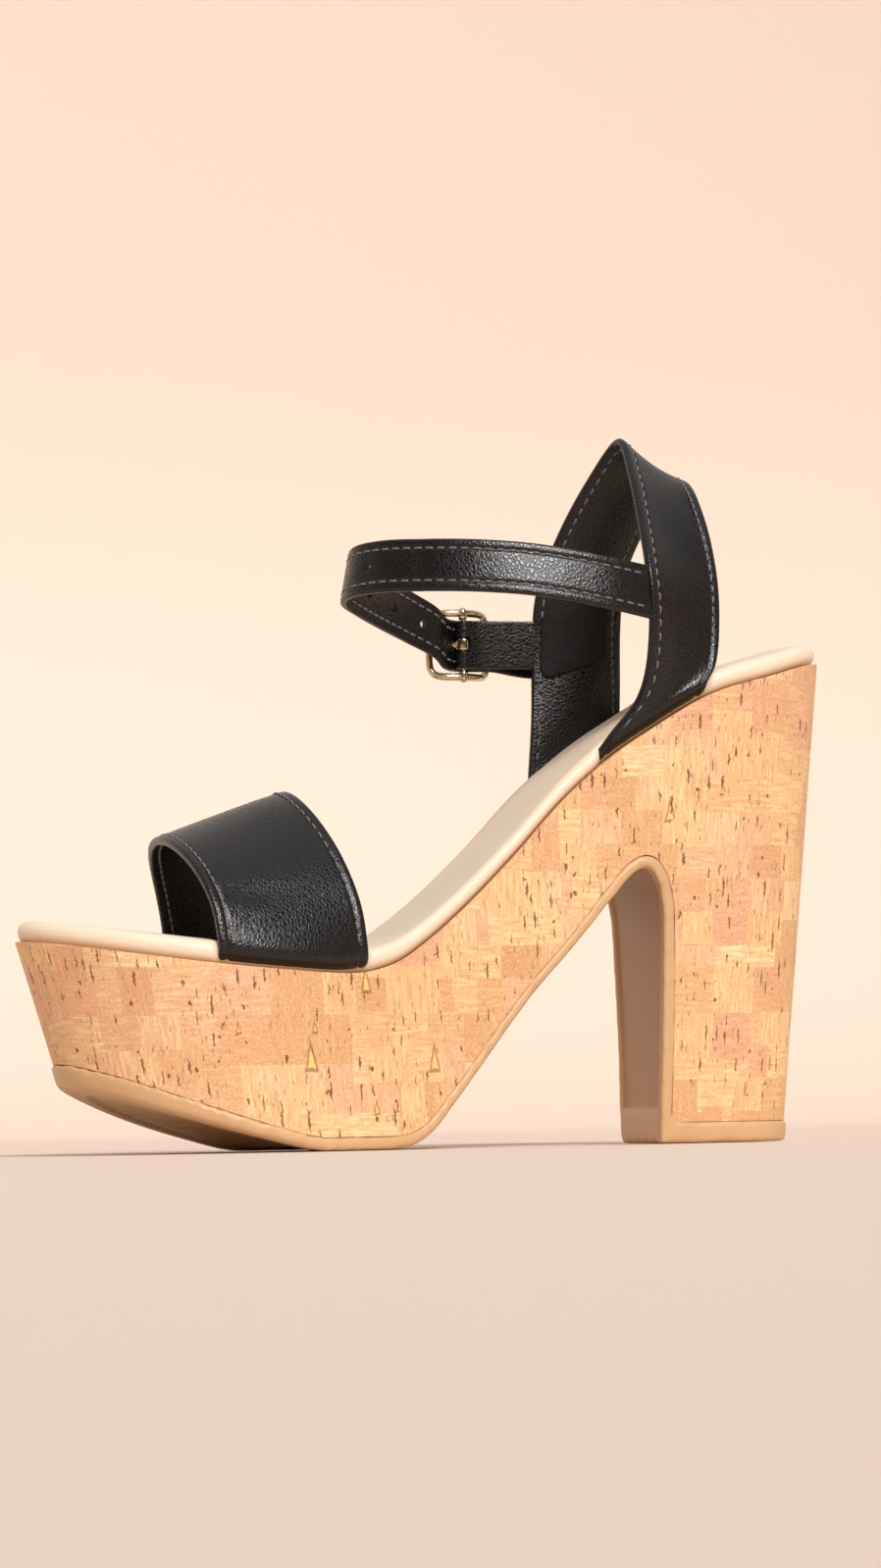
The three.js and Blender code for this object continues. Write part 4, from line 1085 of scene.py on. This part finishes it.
def local_cells(tree, place, spacing, seed):
    """Where a point lies in its cell, in metres, with the cell's own random colour."""
    node = tree.nodes.new("ShaderNodeTexVoronoi")
    node.voronoi_dimensions = "2D"
    node.inputs["Scale"].default_value = 1.0
    moved = scaled(tree, place, (1 / spacing[0], 1 / spacing[1], 0), seed)
    tree.links.new(moved, node.inputs["Vector"])
    away = add(tree, "VectorMath", {"operation": "SUBTRACT"}, {0: moved, 1: node.outputs["Position"]})
    away = scaled(tree, away, (spacing[0], spacing[1], 0))
    return away, node.outputs["Color"]


def marks(tree, place, spacing, seed, half, share, ragged, ragged_size, triangle=False):
    """Spots of a half width and half height, in a share of the cells; the second result is a little larger."""
    rough = add(tree, "TexNoise", {"noise_dimensions": "2D"},
                {"Vector": place, "Scale": 1 / ragged_size, "Detail": 2.0}, 1)
    rough = add(tree, "VectorMath", {"operation": "SUBTRACT"}, {0: rough, 1: (0.5, 0.5, 0.5)})
    away, chance = local_cells(tree, place, spacing, seed)
    away = add(tree, "VectorMath", {"operation": "MULTIPLY_ADD"}, {0: rough, 1: (ragged, ragged * 2, 0), 2: away})
    away = scaled(tree, away, (1 / half[0], 1 / half[1], 0))
    if triangle:
        x = add(tree, "SeparateXYZ", {}, {0: away})
        y = x.node.outputs[1]
        slope = calc(tree, "ADD", calc(tree, "ABSOLUTE", x), calc(tree, "MULTIPLY_ADD", y, 0.5, 0.5))
        reach = calc(tree, "MAXIMUM", slope, calc(tree, "MULTIPLY", y, -1.0))
    else:
        reach = add(tree, "VectorMath", {"operation": "LENGTH"}, {0: away}, 1)
    parts = add(tree, "SeparateColor", {}, {0: chance})
    size = calc(tree, "MULTIPLY_ADD", parts.node.outputs[1], 0.7, 0.55)
    inside = calc(tree, "DIVIDE", reach, size)
    here = calc(tree, "LESS_THAN", parts, share)
    spots = []
    for outer, inner in ((1.1, 0.8), (1.5, 1.25)):
        shape = add(tree, "MapRange", {"interpolation_type": "SMOOTHSTEP"},
                    {0: inside, 1: outer, 2: inner, 3: 0.0, 4: 1.0})
        spots.append(calc(tree, "MULTIPLY", shape, here))
    return spots


def ranged(tree, value, low, high, to_low=0.0, to_high=1.0):
    return add(tree, "MapRange", {}, {0: value, 1: low, 2: high, 3: to_low, 4: to_high})


def cork_material():
    finish, tree, shader = material("lacquered cork veneer")
    place = add(tree, "UVMap", {"uv_map": "Wrap"}, {})
    flat = {"noise_dimensions": "2D"}
    sway = add(tree, "TexNoise", flat, {"Vector": place, "Scale": 90.0, "Detail": 1.0}, 1)
    sway = add(tree, "VectorMath", {"operation": "SUBTRACT"}, {0: sway, 1: (0.5, 0.5, 0.5)})
    bent = add(tree, "VectorMath", {"operation": "MULTIPLY_ADD"}, {0: sway, 1: (0.0012, 0.0008, 0), 2: place})

    def patches(long, tall, seed):
        return add(tree, "TexBrick", {"offset": 0.37, "squash": 0.66, "squash_frequency": 3},
                   {"Vector": scaled(tree, bent, (1, 1, 0), seed), "Color1": (0, 0, 0, 1), "Color2": (1, 1, 1, 1),
                    "Scale": 1.0, "Mortar Size": 0.0, "Brick Width": long, "Row Height": tall})

    wide = patches(PATCH_LONG, PATCH_TALL, (0.004, 0.003, 0))
    small = patches(PATCH_LONG * 0.52, PATCH_TALL * 0.71, (0.031, 0.017, 0))
    pick = calc(tree, "GREATER_THAN", patches(PATCH_LONG * 0.8, PATCH_TALL * 1.42, (0.09, 0.05, 0)), 0.5)
    tone = mixed(tree, pick, wide, small)
    base = add(tree, "ValToRGB", {"stops": (
        (0.00, linear("#d7a674")), (0.20, linear("#efc48e")), (0.38, linear("#f5d09b")),
        (0.55, linear("#dfa87e")), (0.70, linear("#fadca8")), (0.85, linear("#e4a687")),
        (1.00, linear("#efc898")))}, {0: tone})
    upright = calc(tree, "GREATER_THAN", calc(tree, "FRACT", calc(tree, "MULTIPLY", tone, 13.7)), 0.5)
    stretch = add(tree, "CombineXYZ", {}, {0: ranged(tree, upright, 0, 1, 0.13, 1), 1: ranged(tree, upright, 0, 1, 1, 0.13)})
    grain_place = add(tree, "VectorMath", {"operation": "MULTIPLY"}, {0: bent, 1: stretch})
    streaks = add(tree, "TexNoise", flat, {"Vector": grain_place, "Scale": 1 / GRAIN_WIDTH, "Detail": 4.0,
                                           "Roughness": 0.65})
    dull = ranged(tree, streaks, 0.42, 0.68)
    lines = ranged(tree, calc(tree, "ABSOLUTE", calc(tree, "SUBTRACT", streaks, 0.47)), 0.0, 0.018, 1.0, 0.0)
    base = mixed(tree, calc(tree, "MULTIPLY", dull, 0.75), base, linear("#cc9466"))
    base = mixed(tree, calc(tree, "MULTIPLY", lines, 0.6), base, linear("#a96f47"))
    crumb = add(tree, "TexNoise", flat, {"Vector": place, "Scale": 1500.0, "Detail": 2.0})
    base = mixed(tree, calc(tree, "MULTIPLY", ranged(tree, crumb, 0.45, 0.7), 0.3), base, linear("#fbdcb2"))
    crowd = add(tree, "TexNoise", flat, {"Vector": place, "Scale": 75.0, "Detail": 1.0})
    crowd = ranged(tree, crowd, 0.38, 0.66, 0.1, 0.8)
    fleck, rim = marks(tree, place, (0.017, 0.021), (3.3, 1.7, 0), (0.0011, 0.0023), 0.17, 0.0005, 0.002, True)
    dashes = marks(tree, place, DASH_SPACING, (0.3, 0.8, 0), (0.00027, 0.0019), crowd, 0.0011, 0.0010)[0]
    fine = marks(tree, place, (0.0021, 0.0030), (5.1, 2.2, 0), (0.00014, 0.00075), crowd, 0.0006, 0.0006)[0]
    dots = marks(tree, place, (0.0066, 0.0052), (9.4, 7.3, 0), (0.00042, 0.00045), 0.22, 0.0009, 0.0008)[0]
    dark = calc(tree, "MAXIMUM", calc(tree, "MAXIMUM", dashes, calc(tree, "MULTIPLY", fine, 0.6)), dots)
    base = mixed(tree, calc(tree, "MULTIPLY", rim, 0.7), base, linear("#8f5c33"))
    base = mixed(tree, fleck, base, linear("#f6ca80"))
    base = mixed(tree, calc(tree, "MULTIPLY", dark, 0.88), base, linear("#70452a"))
    relief = calc(tree, "SUBTRACT", calc(tree, "MULTIPLY", dull, -0.3), dark)
    bump = add(tree, "Bump", {}, {"Height": relief, "Distance": 0.00012, "Strength": 0.7})
    shader.inputs["IOR"].default_value = 1.45
    shader.inputs["Roughness"].default_value = 0.5
    connect(tree, shader, Base_Color=base, Normal=bump)
    return finish


# %% [markdown]
# ## Rubber and footbed cover
# The sole is moulded thermoplastic rubber: an even caramel tan with a dull sheen, and a fine diamond tread in
# the sunk field. The tread field is made paler with painted light and the heel's front field darker with painted
# shade. The footbed's cover is polyurethane-coated fabric in cream, soft and slightly glossy.

# %% Rubber and footbed materials
TREAD_PITCH = 0.0024


def rubber_material():
    finish, tree, shader = material("moulded rubber")
    field = add(tree, "Attribute", {"attribute_name": "tread"}, {}, 2)
    arc = add(tree, "Attribute", {"attribute_name": "arc"}, {}, 2)
    where = add(tree, "TexCoord", {}, {}, 3)
    across = add(tree, "SeparateXYZ", {}, {0: where}, 1)
    turns = 2 * math.pi / TREAD_PITCH
    waves = [calc(tree, "SINE", calc(tree, "MULTIPLY", calc(tree, kind, arc, across), turns * 0.7))
             for kind in ("ADD", "SUBTRACT")]
    weave = calc(tree, "MULTIPLY", waves[0], waves[1])
    weave = calc(tree, "MULTIPLY", calc(tree, "MULTIPLY_ADD", weave, 0.5, 0.5), field)
    grain = add(tree, "TexNoise", {}, {"Vector": where, "Scale": 1400.0, "Detail": 2.0})
    height = calc(tree, "MULTIPLY_ADD", grain, 0.06, weave)
    bump = add(tree, "Bump", {}, {"Height": height, "Distance": 0.0005, "Strength": 0.9})
    cloud = add(tree, "TexNoise", {}, {"Vector": where, "Scale": 45.0, "Detail": 2.0})
    base = mixed(tree, cloud, linear("#c8a074"), linear("#d4ad82"))
    # Painted light: the sunk tread field is mixed towards a paler tan, to lift the underside that the floor keeps in
    # shade.
    base = mixed(tree, calc(tree, "MULTIPLY", field, 0.6), base, linear("#e0bd8c"))
    # Painted shade: the sunk field of the heel's front is mixed towards a deeper brown, the shade that falls in its
    # recess.
    breast = add(tree, "Attribute", {"attribute_name": "front"}, {}, 2)
    base = mixed(tree, calc(tree, "MULTIPLY", breast, 0.75), base, linear("#a5733a"))
    shader.inputs["IOR"].default_value = 1.5
    shader.inputs["Roughness"].default_value = 0.42
    connect(tree, shader, Base_Color=base, Normal=bump)
    return finish


def cover_material():
    finish, tree, shader = material("cream polyurethane-coated fabric")
    where = add(tree, "TexCoord", {}, {}, 3)
    grain = add(tree, "TexVoronoi", {"feature": "SMOOTH_F1"}, {"Vector": where, "Scale": 1150.0})
    bump = add(tree, "Bump", {}, {"Height": grain, "Distance": 0.00008, "Strength": 0.35})
    cloud = add(tree, "TexNoise", {}, {"Vector": where, "Scale": 22.0, "Detail": 2.0})
    base = mixed(tree, cloud, linear("#ead6bd"), linear("#f0dfc9"))
    shader.inputs["IOR"].default_value = 1.47
    shader.inputs["Roughness"].default_value = 0.46
    connect(tree, shader, Base_Color=base, Normal=bump)
    return finish


# %% [markdown]
# ## Strap cover, lining, edge and thread
# The cover is black polyurethane on a woven back, embossed with pebbles to look like grained leather: dull black
# that turns to a grey sheen where the light grazes. The lining is a plain matt black, and the folded edge is
# smoother from handling. The thread is spun polyester, a dark grey-blue that glints.

# %% Strap materials
PEBBLE = 0.00095


def embossed_material(name, low, high, roughness, depth, mirror):
    finish, tree, shader = material(name)
    where = add(tree, "TexCoord", {}, {}, 3)
    wobble = add(tree, "TexNoise", {}, {"Vector": where, "Scale": 600.0, "Detail": 1.0}, 1)
    moved = add(tree, "VectorMath", {"operation": "MULTIPLY_ADD"}, {0: wobble, 1: (0.0006,) * 3, 2: where})
    cells = add(tree, "TexVoronoi", {"feature": "DISTANCE_TO_EDGE"}, {"Vector": moved, "Scale": 1 / PEBBLE})
    pebbles = add(tree, "MapRange", {"interpolation_type": "SMOOTHSTEP"}, {0: cells, 1: 0.0, 2: 0.28, 3: 0.0, 4: 1.0})
    fine = add(tree, "TexNoise", {}, {"Vector": where, "Scale": 2600.0, "Detail": 1.0})
    height = calc(tree, "MULTIPLY_ADD", fine, 0.25, pebbles)
    bump = add(tree, "Bump", {}, {"Height": height, "Distance": depth, "Strength": 0.8})
    cloud = add(tree, "TexNoise", {}, {"Vector": where, "Scale": 60.0, "Detail": 3.0})
    base = mixed(tree, cloud, linear(low), linear(high))
    rough = add(tree, "MapRange", {}, {0: pebbles, 1: 0.0, 2: 1.0, 3: roughness + 0.16, 4: roughness})
    shader.inputs["IOR"].default_value = 1.5
    shader.inputs["Specular IOR Level"].default_value = mirror
    connect(tree, shader, Base_Color=base, Normal=bump, Roughness=rough)
    return finish


def plain_material(name, colour, roughness, ior=1.5, metallic=0.0):
    finish, tree, shader = material(name)
    shader.inputs["Base Color"].default_value = linear(colour)
    shader.inputs["Roughness"].default_value = roughness
    shader.inputs["Metallic"].default_value = metallic
    if not metallic:
        shader.inputs["IOR"].default_value = ior
    return finish


cover = embossed_material("black embossed polyurethane", "#080708", "#0e0c0d", 0.21, 0.00004, 0.5)
lining = embossed_material("black lining fabric", "#080707", "#0d0b0b", 0.6, 0.00005, 0.3)
edge = plain_material("folded polyurethane edge", "#120e0e", 0.34)
thread = plain_material("spun polyester thread", "#68666b", 0.5)
# A thin pale gold on brass: mirror-like, warm, a little softened by handling
plating = plain_material("pale gold plating", "#dccca8", 0.17, metallic=1.0)
glue = plain_material("dried contact adhesive", "#8d5f38", 0.5)

# %% [markdown]
# ## Dressing the frame
# Every piece rides on the one rigid body and takes the place of the plain solid that it was built over.

# %% Pieces on the frame


def dress(piece, node, slot, *finishes):
    piece.data.materials.clear()
    for finish in finishes:
        piece.data.materials.append(finish)
    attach(piece, "root")
    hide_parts(node)


dress(cork, "platform_block", "cork", cork_material())
dress(rubber, "outsole", "outsole", rubber_material())
dress(bed, "footbed", "footbed", cover_material())
dress(toe, "toe_strap", "strap", cover, lining, edge)
dress(toe_thread, "toe_strap", "strap", thread)
for piece in (heel, ankle, chape):
    dress(piece, "ankle_upper", "strap", cover, lining, edge)
dress(patch_piece, "ankle_upper", "strap", lining)
for piece in (heel_thread, ankle_thread):
    dress(piece, "ankle_upper", "strap", thread)
for piece in (frame_rod, bar_rod, *knobs):
    dress(piece, "buckle_frame", "buckle", plating)
for piece in prong_pieces:
    dress(piece, "buckle_prong", "buckle", plating)

# %% [markdown]
# ## Floor, light and camera
# A seamless paper sweep in pale peach, one broad soft light from the upper right and weaker fill. The camera
# stands at the photographed angle, low beside the shoe's inner side, with a long lens.

# %% Stage
PAPER = "#e4d1c2"


def sweep(sides=96):
    """A round floor whose edge curves up into a low wall, so that no side shows a seam."""
    profile = [(0.02, 0.0), (1.0, 0.0), (3.0, 0.0)]
    profile += [(3.0 + math.sin(a), 1.0 - math.cos(a)) for a in np.radians(np.arange(6, 91, 6))]
    profile += [(4.0, 1.8)]
    turns = 2 * np.pi * np.arange(sides) / sides
    rings = [np.column_stack([r * np.cos(turns), r * np.sin(turns), np.full(sides, z - 0.0002)]) for r, z in profile]
    faces = [tuple(range(sides))]
    for i in range(len(rings) - 1):
        for k in range(sides):
            m = (k + 1) % sides
            faces.append((i * sides + k, (i + 1) * sides + k, (i + 1) * sides + m, i * sides + m))
    piece = place_object("paper_sweep", np.concatenate(rings), faces, metres=True)
    piece.data.shade_smooth()
    piece.data.materials.append(plain_material("matt background paper", PAPER, 0.9))
    return piece


sweep()

# %% Camera
EYE = Vector((0.3192, 0.9046, 0.005))
AIM = Vector((-0.004, 0.0, 0.089))
ROLL_UP = Vector((-0.022, -0.0046, 0.9997))

camera = bpy.data.objects.new("camera", bpy.data.cameras.new("camera"))
bpy.context.scene.collection.objects.link(camera)
camera.data.sensor_width = 36.0
camera.data.lens = 90.0
camera.data.clip_start = 0.004
forward = (AIM - EYE).normalized()
right = forward.cross(ROLL_UP).normalized()
from mathutils import Matrix

camera.matrix_world = Matrix.Translation(EYE) @ Matrix(
    (right, right.cross(forward), -forward)).transposed().to_4x4()
bpy.context.scene.camera = camera

# %% Lights


def far_light(name, right_turn, height, spread, strength, colour):
    """A distant soft light, turned to the right of the camera and raised, both in degrees."""
    lamp = bpy.data.lights.new(name, "SUN")
    lamp.angle, lamp.energy, lamp.color = math.radians(spread), strength, linear(colour)[:3]
    light = bpy.data.objects.new(name, lamp)
    bpy.context.scene.collection.objects.link(light)
    turn, up = math.radians(70.4 + right_turn), math.radians(height)
    toward = Vector((math.cos(turn) * math.cos(up), math.sin(turn) * math.cos(up), math.sin(up)))
    light.rotation_euler = toward.to_track_quat("Z", "Y").to_euler()
    return light


far_light("window", 19, 38, 22, 3.1, "#fffdfb")
far_light("ceiling", -10, 80, 60, 0.3, "#fffcf8")

# %% [markdown]
# The room is bright behind the shoe and above it, and darker behind the camera. Black straps and metal show
# their shape by what they mirror, so an even white room would leave them grey and flat.

# %% Room
world = bpy.data.worlds.new("room")
bpy.context.scene.world = world
world.use_nodes = True
room = world.node_tree
aside = add(room, "TexCoord", {}, {}, 0)
facing = add(room, "VectorMath", {"operation": "DOT_PRODUCT"}, {0: aside, 1: (0.33, 0.91, 0.25)}, 1)
glow = ranged(room, facing, -0.5, 0.8, 0.66, 0.09)
room.links.new(glow, room.nodes["Background"].inputs["Strength"])
room.nodes["Background"].inputs["Color"].default_value = linear("#fff8f2")
bpy.context.scene.view_settings.view_transform = "Standard"
